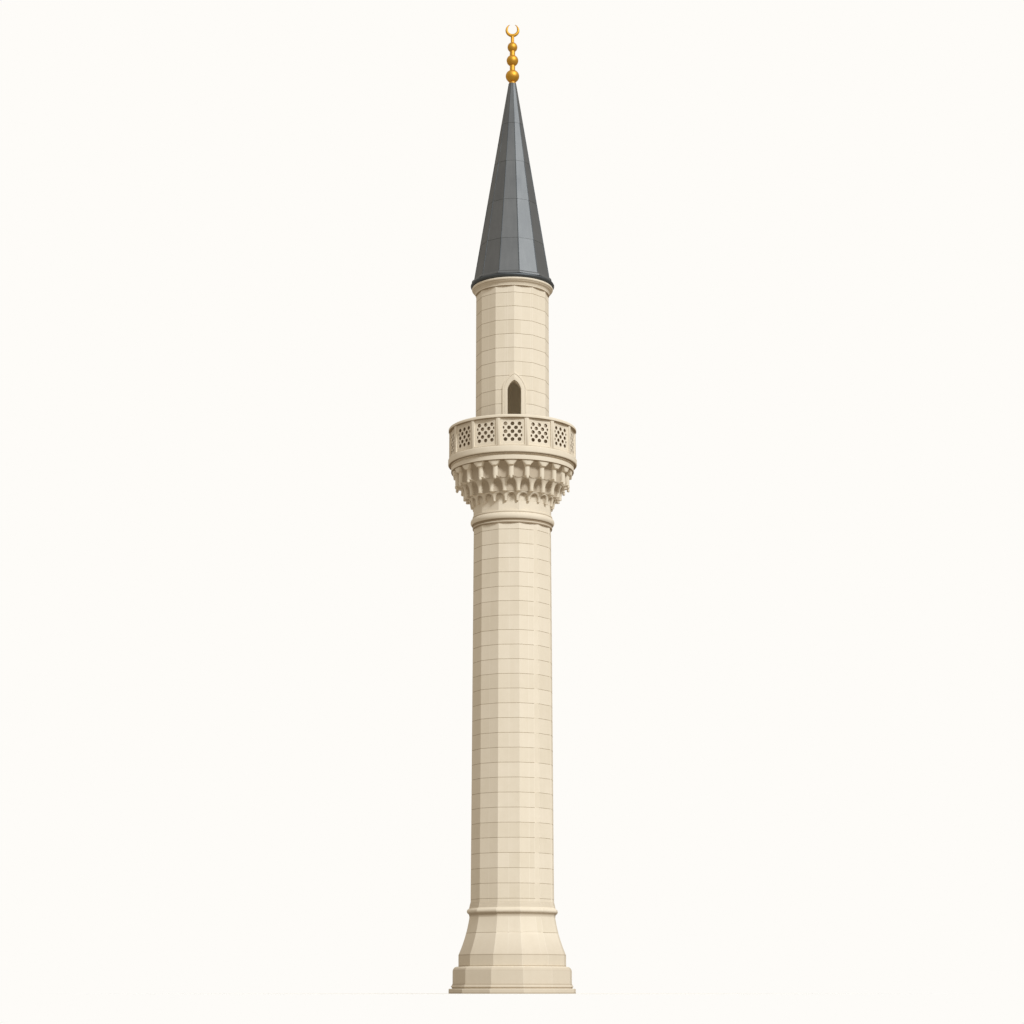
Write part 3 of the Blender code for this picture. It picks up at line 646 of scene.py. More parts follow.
def carved_ring(rows, turn, shaded, plan=None):
    """A closed ring of carved bays, from rows of (share of the bay, radius, level, painted shade) points."""
    bm = bmesh.new()
    painted_shade = bm.verts.layers.float.new("painted_shade")
    loops = []
    for row in rows:
        loop = []
        for number in range(PENDANTS):
            for share, radius, level, shading in row:
                angle = turn + (number + share) * PENDANT_ANGLE
                if plan is not None:
                    radius = plan(radius, angle)
                vert = bm.verts.new(polar(radius, angle, level))
                vert[painted_shade] = shaded * shading
                loop.append(vert)
        loops.append(loop)
    for low, high in zip(loops, loops[1:] + loops[:1]):
        for corner in range(len(low)):
            after = (corner + 1) % len(low)
            bm.faces.new((low[corner], low[after], high[after], high[corner]))
    bmesh.ops.remove_doubles(bm, verts=bm.verts, dist=1e-4)
    bmesh.ops.recalc_face_normals(bm, faces=bm.faces)
    return bm


def flat_row(radius, level):
    """A row of one radius and one level, to close a ring on its hidden sides."""
    return bay_row(0.25, radius, radius, radius, (level, level, level), shading=(0.0, 0.0))


def buds(bm, profile, centre, turn):
    """A small turned bud under every pendant."""
    for number in range(PENDANTS):
        outline = [bm.verts.new((radius, 0.0, level)) for radius, level in profile]
        edges = [bm.edges.new(pair) for pair in zip(outline, outline[1:])]
        made = bmesh.ops.spin(bm, geom=outline + edges, cent=(0, 0, 0), axis=(0, 0, 1),
                              angle=math.tau, steps=BUD_SIDES, use_merge=True)
        known = set(outline)
        stack = list(outline)
        while stack:
            for edge in stack.pop().link_edges:
                for vert in edge.verts:
                    if vert not in known:
                        known.add(vert)
                        stack.append(vert)
        bmesh.ops.translate(bm, vec=(0, -centre, 0), verts=list(known))
        bmesh.ops.rotate(bm, cent=(0, 0, 0), verts=list(known),
                         matrix=Matrix.Rotation(turn + number * PENDANT_ANGLE, 3, "Z"))
    bmesh.ops.remove_doubles(bm, verts=bm.verts, dist=1e-5)
    bmesh.ops.recalc_face_normals(bm, faces=bm.faces)


def arched(share, foot_width, power, root):
    """Half width of a pendant at a share of its height, so that the niche beside it ends in an arch."""
    return 0.5 - (0.5 - foot_width) * (1.0 - share ** power) ** root


def on_neck(radius, angle):
    """Bring what lies near the neck's faces on to them, and leave the rest round."""
    if radius > NECK_RADIUS + 0.008:
        return radius
    beside = (angle - TOWER_TURN) % SIDE_ANGLE - SIDE_ANGLE / 2
    return radius * math.cos(SIDE_ANGLE / 2) / math.cos(beside)


STAGGERED = PENDANT_TURN + PENDANT_ANGLE / 2

foot, head = levels("lower_corbel_tier")
DROP_TIP = foot - 0.03
ARCH_HEAD = head - 0.045
rows = [flat_row(WELL_RADIUS, foot)]
for step in range(11):
    share = step / 10
    level = DROP_TIP + (ARCH_HEAD - DROP_TIP) * share
    niche = max(foot, level)
    rod = arched(share, 0.115, 2.2, 0.5)
    front = 1.425 + 0.045 * share
    side = 1.36 + 0.11 * share ** 3
    back = NECK_RADIUS + 0.003 if share < 1.0 else 1.47
    if step == 0:
        rows.append(bay_row(rod, 1.36, 1.35, 1.345, (level + 0.02, foot, foot), shading=(0.0, 0.0)))
    # Painted shade: niches darken towards the arch heads, cheeks give dark outlines beside each drop, and the
    # front's edges darken towards the top.
    rows.append(bay_row(rod, front, side, back, (level, niche, niche), shading=(share ** 4, 0.5 + 0.5 * share),
                        face=(0.0, 0.75 * share)))
rows += [flat_row(1.485, ARCH_HEAD + 0.012), flat_row(1.485, head), flat_row(WELL_RADIUS, head)]
set_piece(carved_ring(rows, STAGGERED, NECK_SHADE, on_neck), "lower_pendants", carved_stone,
          ["lower_corbel_tier"], 35)

foot, head = levels("middle_corbel_tier")
COLLAR_LEVELS = ((-0.02, 0.000), (-0.012, 0.008), (0.020, 0.010), (0.028, 0.000))
rows = [flat_row(WELL_RADIUS, foot),
        bay_row(0.135, 1.59, 1.57, 1.50, (foot - 0.02, foot, foot))]
for rise, proud in COLLAR_LEVELS:
    rows.append(bay_row(0.145 + proud, 1.675 + proud, 1.60, 1.50, (foot + rise, max(foot, foot + rise),
                                                                  max(foot, foot + rise))))
# Painted shade: each pendant's front darkens towards its top, where the tier above shades it.
for step in range(13):
    share = step / 12
    level = foot + 0.035 + (head - 0.004 - foot - 0.035) * share
    rod = arched(share, 0.15, 2.4, 0.43)
    rows.append(bay_row(rod, 1.682 + 0.06 * share ** 2, 1.60 + 0.125 * share ** 2,
                        1.50 + 0.22 * share ** 6, (level, level, level),
                        face=(max(0.0, share - 0.35), max(0.0, share - 0.15))))
rows += [flat_row(1.742, head), flat_row(WELL_RADIUS, head)]
set_piece(carved_ring(rows, STAGGERED, HOLLOW_SHADE), "middle_pendants", carved_stone,
          ["middle_corbel_tier"], 35)

CAP_HEIGHT = 0.15
CAP_HALF_WIDTH = 0.37
ROD_HALF_WIDTH = 0.165
foot, head = levels("upper_corbel_tier")
scallop = (foot + 0.03, foot + 0.07, foot)
cap_foot = head - CAP_HEIGHT
rows = [flat_row(WELL_RADIUS, foot), flat_row(1.735, foot),
        bay_row(ROD_HALF_WIDTH, 1.965, 1.88, 1.765, scallop)]
for rise in (0.09, 0.2, cap_foot - foot - 0.06):
    rows.append(bay_row(ROD_HALF_WIDTH, 1.97, 1.88, 1.765 + 0.04 * rise, (foot + rise,) * 3))
for share, front, blunt in ((0.0, 1.975, 0.9), (0.04, 2.05, 0.3), (0.35, 2.055, 0.25),
                            (0.65, 2.06, 0.22), (0.93, 2.065, 0.2), (1.0, 2.07, 0.2)):
    width = ROD_HALF_WIDTH + (CAP_HALF_WIDTH - ROD_HALF_WIDTH) * share
    rows.append(bay_row(width, front, 1.88 + 0.12 * share,
                        1.78 + 0.15 * share ** 2, (cap_foot + CAP_HEIGHT * share,) * 3, blunt))
rows += [flat_row(1.90, head), flat_row(WELL_RADIUS, head)]
bm = carved_ring(rows, PENDANT_TURN, HOLLOW_SHADE)
buds(bm, [(0.0, foot - 0.078), (0.022, foot - 0.074), (0.042, foot - 0.056), (0.051, foot - 0.03),
          (0.050, foot), (0.045, foot + 0.034), (0.0, foot + 0.034)], 1.93, PENDANT_TURN)
set_piece(bm, "upper_pendants", carved_stone, ["upper_corbel_tier"], 35)


# Balcony floor: a round fascia course that rests on the corbels, a hidden groove, the heavy kerb
# that carries the parapet, and radial paving slabs between the kerb and the drum.
FASCIA_RADIUS = 2.105
KERB_RADIUS = 2.21
KERB_INNER_RADIUS = 1.99
LEDGE_RADIUS = 0.85
PAVING_SLABS = 24
PAVING_INNER_RADIUS = 1.273

foot, head = levels("balcony_cornice")
profile = [(LEDGE_RADIUS, foot), (FASCIA_RADIUS - 0.03, foot)]
profile += arc(FASCIA_RADIUS - 0.02, foot + 0.022, 0.02, -80, 0, 4)
profile += arc(FASCIA_RADIUS - 0.015, foot + 0.155, 0.015, 0, 85, 4)
profile += [(FASCIA_RADIUS - 0.045, foot + 0.175), (FASCIA_RADIUS - 0.045, head - 0.03),
            (FASCIA_RADIUS + 0.01, head - 0.02), (FASCIA_RADIUS + 0.01, head), (LEDGE_RADIUS, head)]
bm = turned(profile, ROUND)
# Painted shade: a dark line along the fascia's underside.
paint_shade(bm, 1.0, foot, foot + 0.016)
set_piece(bm, "balcony_fascia", carved_stone, ["balcony_cornice"], 28)

foot, head = levels("parapet_kerb")
profile = [(KERB_INNER_RADIUS, foot), (KERB_RADIUS - 0.055, foot)]
profile += arc(KERB_RADIUS - 0.045, foot + 0.045, 0.045, -80, 0, 6)
profile += arc(KERB_RADIUS - 0.035, head - 0.035, 0.035, 0, 90, 6)
profile += [(KERB_INNER_RADIUS, head)]
bm = turned(profile, ROUND)
# Painted shade: a dark line under the kerb's roll.
paint_shade(bm, 1.0, foot, foot + 0.006)
set_piece(bm, "balcony_kerb", carved_stone, ["parapet_kerb"], 28)

foot, head = levels("balcony_floor")
bm = turned([(PAVING_INNER_RADIUS - 0.06, foot), (KERB_INNER_RADIUS - 0.004, foot),
             (KERB_INNER_RADIUS - 0.004, head), (PAVING_INNER_RADIUS - 0.06, head)], PAVING_SLABS * 3)
slab_joints = []
for edge in bm.edges:
    first, second = (vert.co for vert in edge.verts)
    place_in_ring = angle_of(first) / (math.tau / PAVING_SLABS)
    if (min(first.z, second.z) > head - 1e-3 and abs(angle_of(first) - angle_of(second)) < 1e-4
            and abs(place_in_ring - round(place_in_ring)) < 1e-3):
        slab_joints.append(edge)
bmesh.ops.bevel(bm, geom=slab_joints, offset=0.006, offset_type="OFFSET", segments=2, profile=0.5,
                affect="EDGES", material=-1)
depth = bm.verts.layers.float.new("joint")
for vert in bm.verts:
    place_in_ring = angle_of(vert.co) / (math.tau / PAVING_SLABS)
    if vert.co.z > head - 0.003 and abs(place_in_ring - round(place_in_ring)) < 1e-3:
        vert[depth] = 1.0
        vert.co.z = head - 0.006
paving_stone = limestone("paving_limestone", (0.66, 0.59, 0.47), (0.52, 0.46, 0.36))
set_piece(bm, "balcony_paving", paving_stone, ["balcony_floor"], 28)
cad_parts["landing_floor"].data.materials.clear()
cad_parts["landing_floor"].data.materials.append(paving_stone)


# Parapet: fourteen upright slabs between posts, each pierced with five staggered rows of round
# holes in a sunk field, and a moulded rail on top of them.
PANELS = 14
PANEL_ANGLE = math.tau / PANELS
PARAPET_RADIUS = 2.178
PARAPET_THICKNESS = 0.14
POST_HALF_WIDTH = 0.085
PANEL_RECESS = 0.036
BASE_STRIP = 0.06
STRIP_SLOPE = 0.35
FIELD_HALF_WIDTH = 0.33
FIELD_FOOT = 18.05
FIELD_HEAD = 18.75
FIELD_RECESS = 0.006
HOLE_RADIUS = 0.061
HOLE_COUNTERSINK = 0.006
HOLE_SPACING = 0.235
HOLE_ROW_HEIGHT = 0.135
HALF_HOLE = 1.27
BLIND_DEPTH = 0.05
BORE_SHADE = 1.0
RAIL_RADIUS = 2.2
RAIL_INNER_RADIUS = 1.96
RAIL_REBATE = 0.014


def box_between(bm, low, high):
    """A plain block between two corners."""
    size = Vector(high) - Vector(low)
    middle = (Vector(high) + Vector(low)) / 2
    made = bmesh.ops.create_cube(bm, size=1.0, matrix=Matrix.Translation(middle)
                                 @ Matrix.Diagonal((*size, 1.0)))
    return made["verts"]


def scratch(bm, name):
    """An object that only serves to cut or join others."""
    mesh = bpy.data.meshes.new(name)
    bm.to_mesh(mesh)
    bm.free()
    made = bpy.data.objects.new(name, mesh)
    bpy.context.scene.collection.objects.link(made)
    return made


def combined(first, second, operation):
    """The mesh of an exact boolean; both operands are used up."""
    modifier = first.modifiers.new(operation.lower(), "BOOLEAN")
    modifier.operation = operation
    modifier.solver = "EXACT"
    modifier.object = second
    bpy.context.view_layer.update()
    mesh = bpy.data.meshes.new_from_object(first.evaluated_get(bpy.context.evaluated_depsgraph_get()))
    bm = bmesh.new()
    bm.from_mesh(mesh)
    for used in (first, second):
        bpy.data.objects.remove(used, do_unlink=True)
    bpy.data.meshes.remove(mesh)
    return bm


foot, head = levels("parapet_panel_01")
front = PARAPET_RADIUS * math.cos(PANEL_ANGLE / 2)
back_face = front - PARAPET_THICKNESS
half_front = front * math.tan(PANEL_ANGLE / 2)
half_back = back_face * math.tan(PANEL_ANGLE / 2)
field = front - PANEL_RECESS
sunk = field - FIELD_RECESS
post = half_front - POST_HALF_WIDTH

bm = bmesh.new()
plan = [(-half_front, -front), (half_front, -front), (half_back, -back_face), (-half_back, -back_face)]
base = bm.faces.new([bm.verts.new((across, depth_in, foot)) for across, depth_in in plan])
raised = bmesh.ops.extrude_face_region(bm, geom=[base])["geom"]
bmesh.ops.translate(bm, vec=(0, 0, head - foot),
                    verts=[item for item in raised if isinstance(item, bmesh.types.BMVert)])
bmesh.ops.recalc_face_normals(bm, faces=bm.faces)
slab = scratch(bm, "panel_slab")
bm = bmesh.new()
recess = box_between(bm, (-post, -front - 0.1, foot + BASE_STRIP), (post, -field, head + 0.1))
for vert in recess:
    if vert.co.z < head and vert.co.y < -front:
        vert.co.z -= 0.1 * STRIP_SLOPE
    if vert.co.y < -front:
        vert.co.x *= 1.0 + 0.04 / post
bm = combined(slab, scratch(bm, "recess_cutter"), "DIFFERENCE")
slab = scratch(bm, "panel_slab")
bm = bmesh.new()
box_between(bm, (-FIELD_HALF_WIDTH, -front - 0.1, FIELD_FOOT), (FIELD_HALF_WIDTH, -sunk, FIELD_HEAD))
bm = combined(slab, scratch(bm, "field_cutter"), "DIFFERENCE")
slab = scratch(bm, "panel_slab")
bm = bmesh.new()
half_hole = [(HOLE_RADIUS + HOLE_COUNTERSINK + 0.02, 0.02), (HOLE_RADIUS + HOLE_COUNTERSINK, 0.0),
             (HOLE_RADIUS + 0.004, -0.006), (HOLE_RADIUS, -HOLE_COUNTERSINK)]
thickness = sunk - back_face
bore = [(0.0, 0.02)] + half_hole + [(HOLE_RADIUS, -thickness - 0.02), (0.0, -thickness - 0.02)]
for row in range(5):
    columns = (-1, 0, 1) if row % 2 == 0 else (-HALF_HOLE, -0.5, 0.5, HALF_HOLE)
    for column in columns:
        hole = bmesh.new()
        line = [hole.verts.new((radius, 0.0, height_in)) for radius, height_in in bore]
        links = [hole.edges.new(pair) for pair in zip(line, line[1:])]
        bmesh.ops.spin(hole, geom=line + links, cent=(0, 0, 0), axis=(0, 0, 1), angle=math.tau,
                       steps=12, use_merge=True)
        bmesh.ops.remove_doubles(hole, verts=hole.verts, dist=1e-5)
        bmesh.ops.recalc_face_normals(hole, faces=hole.faces)
        if abs(column) == HALF_HOLE:
            hole.transform(Matrix.Diagonal((0.5, 0.8, BLIND_DEPTH / (thickness + 0.02), 1.0)))
        level = (FIELD_FOOT + FIELD_HEAD) / 2 + (2 - row) * HOLE_ROW_HEIGHT
        hole.transform(Matrix.Translation((column * HOLE_SPACING, -sunk, level))
                       @ Matrix.Rotation(math.pi / 2, 4, "X"))
        part = bpy.data.meshes.new("hole")
        hole.to_mesh(part)
        hole.free()
        bm.from_mesh(part)
        bpy.data.meshes.remove(part)
pierced = combined(slab, scratch(bm, "hole_cutter"), "DIFFERENCE")
shade = pierced.verts.layers.float.new("painted_shade")
wear_and_highlight = pierced.faces.layers.float.new("wear_and_highlight")
# Painted shade: the bores of the holes are painted dark, and a darker line runs along each panel's foot.
for vert in pierced.verts:
    across, depth_in = abs(vert.co.x), -vert.co.y
    if across < post - 0.01 and FIELD_FOOT < vert.co.z < FIELD_HEAD and depth_in < sunk - 0.004:
        vert[shade] = BORE_SHADE
    elif vert.co.z < foot + 0.001:
        vert[shade] = CORNER_SHADE
# Painted highlight: the sunk field's front face between the holes is painted lighter, as if catching the
# light.
for face in pierced.faces:
    middle = face.calc_center_median()
    if abs(face.normal.y) > 0.99 and abs(middle.y + sunk) < 0.002:
        face[wear_and_highlight] = 0.5
pattern = bpy.data.meshes.new("panel_pattern")
pierced.to_mesh(pattern)
pierced.free()
for number in range(PANELS):
    bm = bmesh.new()
    bm.from_mesh(pattern)
    bm.transform(Matrix.Rotation(number * PANEL_ANGLE, 4, "Z"))
    set_piece(bm, f"pierced_panel_{number + 1:02d}", carved_stone,
              [f"parapet_panel_{number + 1:02d}"], 30)
bpy.data.meshes.remove(pattern)

foot, head = levels("parapet_rail")
foot -= RAIL_REBATE
crown = foot + 0.112
profile = [(RAIL_INNER_RADIUS, foot), (RAIL_RADIUS - 0.03, foot), (RAIL_RADIUS - 0.008, foot + 0.004)]
profile += [(RAIL_RADIUS, foot + 0.016), (RAIL_RADIUS, foot + 0.05)]
profile += arc(RAIL_RADIUS - 0.05, crown - 0.05, 0.05, 10, 80, 8)
profile += [(RAIL_RADIUS - 0.08, crown), (RAIL_INNER_RADIUS + 0.02, crown),
            (RAIL_INNER_RADIUS, crown - 0.02)]
bm = turned(profile, ROUND)
# Painted shade: a dark line along the rail's underside.
paint_shade(bm, 0.9, foot, foot + 0.005)
set_piece(bm, "parapet_coping", carved_stone, ["parapet_rail"], 28)


# Drum: the thinner upper shaft, of the same ashlar, with a pointed doorway cut through it. A
# proud stone surround frames the doorway, with a fillet along its outer edge.
DRUM_TURN = math.radians(3.0)
DRUM_RADIUS = 1.268
DRUM_FIRST_JOINT = 18.1205
DRUM_COURSE = 0.4935
DRUM_UPRIGHTS = ([(11, MIDDLE), (9, MIDDLE), (0, 0.9), (2, MIDDLE), (4, MIDDLE), (6, MIDDLE)],
                 [(11, 0.64), (10, MIDDLE), (0, 0.37), (1, MIDDLE), (3, MIDDLE), (7, MIDDLE)])
ARCH_FLATNESS = 0.33
DOOR_HALF_WIDTH = 0.2315
DOOR_SPRING = 20.115
DOOR_RISE = 0.296
SURROUND_HALF_WIDTH = 0.41
SURROUND_SPRING = 20.159
SURROUND_RISE = 0.515
SURROUND_PROUD = 0.03
FILLET_WIDTH = 0.045
FILLET_PROUD = 0.042
# Levels and shares of the painted shade on the drum behind the parapet.
PARAPET_SHADE_LEVELS = ((17.0, 0.85), (18.62, 0.85), (18.95, 0.75), (19.13, 0.0))


def drum_radius(level):
    return DRUM_RADIUS


def shade_behind_parapet(bm):
    """Paint shade on the drum's foot where the parapet shades it, fading out above the rail."""
    painted_shade = bm.verts.layers.float.get("painted_shade") or bm.verts.layers.float.new("painted_shade")
    for vert in bm.verts:
        for (low, first), (high, second) in zip(PARAPET_SHADE_LEVELS, PARAPET_SHADE_LEVELS[1:]):
            if low <= vert.co.z <= high and vert.co.xy.length > WELL_RADIUS + 0.05:
                vert[painted_shade] = first + (second - first) * (vert.co.z - low) / (high - low)


def pointed_arch(half_width, spring, rise, foot, steps=14):
    """Outline of a flattened two-centred arch on straight jambs, as (across, height) points."""
    radius = (half_width ** 2 + rise ** 2) / (2 * half_width)
    crown = math.atan2(rise, radius - half_width)
    right = []
    for step in range(steps + 1):
        angle = crown * step / steps
        bulge = half_width - radius + radius * math.cos(angle)
        climb = radius * math.sin(angle)
        straight = half_width * (1.0 - climb / rise)
        right.append((bulge + (straight - bulge) * ARCH_FLATNESS, spring + climb))
    right = [(half_width, level) for level, share in PARAPET_SHADE_LEVELS[1:]] + right
    left = [(-across, level) for across, level in reversed(right) if across > 1e-6]
    return [(half_width, foot)] + right + left + [(-half_width, foot)]


def arch_block(half_width, spring, rise, foot, near, far):
    """An arch outline pushed out through the drum's front."""
    bm = bmesh.new()
    outline = pointed_arch(half_width, spring, rise, foot)
    base = bm.faces.new([bm.verts.new((across, -near, level)) for across, level in outline])
    raised = bmesh.ops.extrude_face_region(bm, geom=[base])["geom"]
    bmesh.ops.translate(bm, vec=(0, near - far, 0),
                        verts=[item for item in raised if isinstance(item, bmesh.types.BMVert)])
    bmesh.ops.recalc_face_normals(bm, faces=bm.faces)
    bmesh.ops.rotate(bm, cent=(0, 0, 0), matrix=Matrix.Rotation(DRUM_TURN, 3, "Z"), verts=bm.verts)
    return bm


def arch_band(inner, outer, foot, proud, back):
    """A band between two arches whose front follows the drum's two faces beside the door."""
    bm = bmesh.new()
    loops = []
    for half_width, spring, rise in (inner, outer):
        points = pointed_arch(half_width, spring, rise, foot)
        verts = [bm.verts.new((across, 0.0, level)) for across, level in points]
        loops.append([bm.edges.new(pair) for pair in zip(verts, verts[1:])])
    bmesh.ops.bridge_loops(bm, edges=loops[0] + loops[1])
    raised = bmesh.ops.extrude_face_region(bm, geom=list(bm.faces))["geom"]
    fronts = {item for item in raised if isinstance(item, bmesh.types.BMVert)}
    for vert in bm.verts:
        if vert in fronts:
            vert.co.y = -(DRUM_RADIUS + proud) + abs(vert.co.x) * math.tan(SIDE_ANGLE / 2)
        else:
            vert.co.y = -back
    bmesh.ops.recalc_face_normals(bm, faces=bm.faces)
    rims = [edge for edge in bm.edges if edge.verts[0] in fronts and edge.verts[1] in fronts
            and edge.calc_face_angle(0.0) > 1.0]
    bmesh.ops.bevel(bm, geom=rims, offset=0.007, offset_type="OFFSET", segments=2, profile=0.5,
                    affect="EDGES", material=-1)
    bmesh.ops.rotate(bm, cent=(0, 0, 0), matrix=Matrix.Rotation(DRUM_TURN, 3, "Z"), verts=bm.verts)
    return bm


foot, head = levels("drum_wall_2")
beds = []
while DRUM_FIRST_JOINT + DRUM_COURSE * len(beds) < head - 0.1:
    beds.append(DRUM_FIRST_JOINT + DRUM_COURSE * len(beds))
rings = sorted([foot, head] + beds + [level for level, share in PARAPET_SHADE_LEVELS[2:]])
bm = ashlar(DRUM_TURN, drum_radius, rings, beds, DRUM_UPRIGHTS, 7)
cutter = arch_block(SURROUND_HALF_WIDTH - 0.002, SURROUND_SPRING, SURROUND_RISE - 0.002, foot - 0.5,
                    WELL_RADIUS * 0.5, DRUM_RADIUS * 1.5)
bm = combined(scratch(bm, "drum_body"), scratch(cutter, "doorway_cutter"), "DIFFERENCE")
shade_behind_parapet(bm)
# Painted light: the well's inner faces glow faintly, so that the doorway shows a lit interior.
painted_inner_light = bm.verts.layers.float.new("painted_inner_light")
for vert in bm.verts:
    if vert.co.xy.length < WELL_RADIUS + 0.005:
        vert[painted_inner_light] = 1.0
set_piece(bm, "drum_courses", wall_stone,
          [f"drum_wall_{number}" for number in range(2, 7)]
          + ["drum_wall_left_of_door", "drum_wall_right_of_door", "drum_wall_over_door"])

inner_arch = (DOOR_HALF_WIDTH, DOOR_SPRING, DOOR_RISE)
middle_arch = (SURROUND_HALF_WIDTH - FILLET_WIDTH, SURROUND_SPRING - 0.01, SURROUND_RISE - FILLET_WIDTH)
outer_arch = (SURROUND_HALF_WIDTH, SURROUND_SPRING, SURROUND_RISE)
back_of_wall = WELL_RADIUS * math.cos(SIDE_ANGLE / 2)
bm = arch_band(inner_arch, middle_arch, foot, SURROUND_PROUD, back_of_wall)
shade_behind_parapet(bm)
set_piece(bm, "doorway_surround", carved_stone, ["door_surround"], 30)
bm = arch_band(middle_arch, outer_arch, foot, FILLET_PROUD, back_of_wall)
shade_behind_parapet(bm)
set_piece(bm, "doorway_fillet", carved_stone, (), 30)


# Eaves: a turned stone cornice of a bead, a hollow and a heavy roll on top of the drum, and the
# lead roll that closes the roof's edge above it, in lead painted darker for the shade there.
EAVE_FILLET_RADIUS = 1.288
EAVE_ROLL = 0.05
EAVE_ROLL_RADIUS = 1.365
EAVE_ROLL_HEIGHT = 24.015
LIP_RADIUS = 1.46
LIP_ROLL = 0.066
LIP_INNER_RADIUS = 1.20
LEAD_LIGHT = (0.197, 0.204, 0.210)
LEAD_DARK = (0.136, 0.143, 0.151)


def leadwork(name, light, dark):
    """Dull weathered lead sheet, clouded by oxide and faintly streaked by rain."""
    finish = bpy.data.materials.new(name)
    finish.use_nodes = True
    tree = finish.node_tree
    shader = tree.nodes["Principled BSDF"]
    shader.inputs["Roughness"].default_value = 0.55
    shader.inputs["Metallic"].default_value = 0.85
    where = node(tree, "TexCoord").outputs["Object"]
    clouds = noise(tree, where, 1.1, 5.0, 0.6)
    grain = noise(tree, where, 40.0, 4.0, 0.7)
    streaks = noise(tree, stretched(tree, where, (9.0, 9.0, 0.35)), 1.0, 5.0)
    share = weighted(tree, [(clouds, 0.9), (streaks, 0.7), (grain, 0.35),
                            (carried(tree, "tone"), 0.14)], -0.48)
    colour = blended(tree, share, dark, light)
    colour = blended(tree, weighted(tree, [(carried(tree, "wear_and_highlight"), 0.6)]), colour, (0.42, 0.44, 0.45))
    tree.links.new(colour, shader.inputs["Base Color"])
    bump = node(tree, "Bump")
    bump.inputs["Strength"].default_value = 0.25
    bump.inputs["Distance"].default_value = 0.01
    tree.links.new(weighted(tree, [(clouds, 0.7), (grain, 0.3)]), bump.inputs["Height"])
    tree.links.new(bump.outputs["Normal"], shader.inputs["Normal"])
    return finish


foot, head = levels("eave_cornice")
profile = [(WELL_RADIUS, foot), (EAVE_FILLET_RADIUS - 0.012, foot), (EAVE_FILLET_RADIUS - 0.012, foot + 0.016),
           (EAVE_FILLET_RADIUS, foot + 0.022), (EAVE_FILLET_RADIUS, foot + 0.052),
           (EAVE_FILLET_RADIUS + 0.008, foot + 0.06)]
profile += arc(EAVE_FILLET_RADIUS + 0.10, foot + 0.065, 0.092, 178, 105, 8)
profile += arc(EAVE_ROLL_RADIUS, EAVE_ROLL_HEIGHT, EAVE_ROLL, -68, 80, 12)
profile += [(EAVE_ROLL_RADIUS, head), (WELL_RADIUS, head)]
bm = turned(profile, ROUND)
# Painted shade: a dark line at the foot, the hollow darkened, and a darker line under the roll.
paint_shade(bm, 0.9, foot, foot + 0.017)
paint_shade(bm, CORNER_SHADE * 0.4, foot + 0.055, EAVE_ROLL_HEIGHT - 0.045)
paint_shade(bm, CORNER_SHADE, EAVE_ROLL_HEIGHT - 0.055, EAVE_ROLL_HEIGHT - 0.042)
set_piece(bm, "eave_moulding", carved_stone, ["eave_cornice"], 28)

# Painted shade: a darker copy of the lead for the eave roll and the arris rolls, for the shade under the lip
# and beside the seams.
shade_darkened_lead = leadwork("shade_darkened_lead", (0.115, 0.125, 0.135), (0.07, 0.078, 0.086))
foot, head = levels("lead_eave_lip")
profile = [(LIP_INNER_RADIUS, foot), (LIP_RADIUS - LIP_ROLL, foot)]
profile += arc(LIP_RADIUS - LIP_ROLL, (foot + head) / 2, LIP_ROLL, -80, 80, 12)
profile += [(LIP_RADIUS - LIP_ROLL, head), (LIP_INNER_RADIUS, head)]
set_piece(turned(profile, ROUND), "lead_roll", shade_darkened_lead, ["lead_eave_lip"], 28)


# Spire: a tall twelve-sided cone of boards under lead. The sheets lap at three level seams, and a
# rounded roll covers the standing joint on every arris.
SPIRE_EAVE_RADIUS = 1.45
SPIRE_FOOT_RADIUS = 1.35
SPIRE_FOOT = 24.32
SPIRE_HEAD_RADIUS = 0.138
SPIRE_SHELL = 0.10
SPIRE_SEAMS = (25.58, 27.09, 28.60, 30.11)
LAP = 0.007
ROLL_RADIUS = 0.018
ROLL_SUNK = 0.010

spire_lead = leadwork("spire_lead", LEAD_LIGHT, LEAD_DARK)
foot, head = levels("spire")


def spire_radius(level):
    return SPIRE_FOOT_RADIUS + (SPIRE_HEAD_RADIUS - SPIRE_FOOT_RADIUS) * (level - SPIRE_FOOT) / (
        head - SPIRE_FOOT)


profile = [(SPIRE_FOOT_RADIUS - SPIRE_SHELL, foot)]
for step in range(9):
    quarter = math.pi / 2 * step / 8
    profile.append((SPIRE_FOOT_RADIUS + (SPIRE_EAVE_RADIUS - 0.01 - SPIRE_FOOT_RADIUS) * math.cos(quarter),
                    foot + (SPIRE_FOOT - foot) * math.sin(quarter)))
for seam in SPIRE_SEAMS:
    profile += [(spire_radius(seam) - LAP, seam - 0.004), (spire_radius(seam), seam)]
profile += [(SPIRE_HEAD_RADIUS, head), (0.06, head), (0.06, head - 0.35),
            (SPIRE_FOOT_RADIUS - SPIRE_SHELL, SPIRE_FOOT)]
bm = turned(profile, SIDES, TOWER_TURN)
tone = bm.faces.layers.float.new("tone")
for face in bm.faces:
    middle = face.calc_center_median()
    sheet_number = sum(middle.z > seam for seam in SPIRE_SEAMS)
    side = int(((angle_of(middle) - TOWER_TURN) % math.tau) / SIDE_ANGLE)
    face[tone] = random.Random(900 + 20 * sheet_number + side).uniform(-1.0, 1.0)
set_piece(bm, "spire_sheets", spire_lead, ["spire"], CREASE)

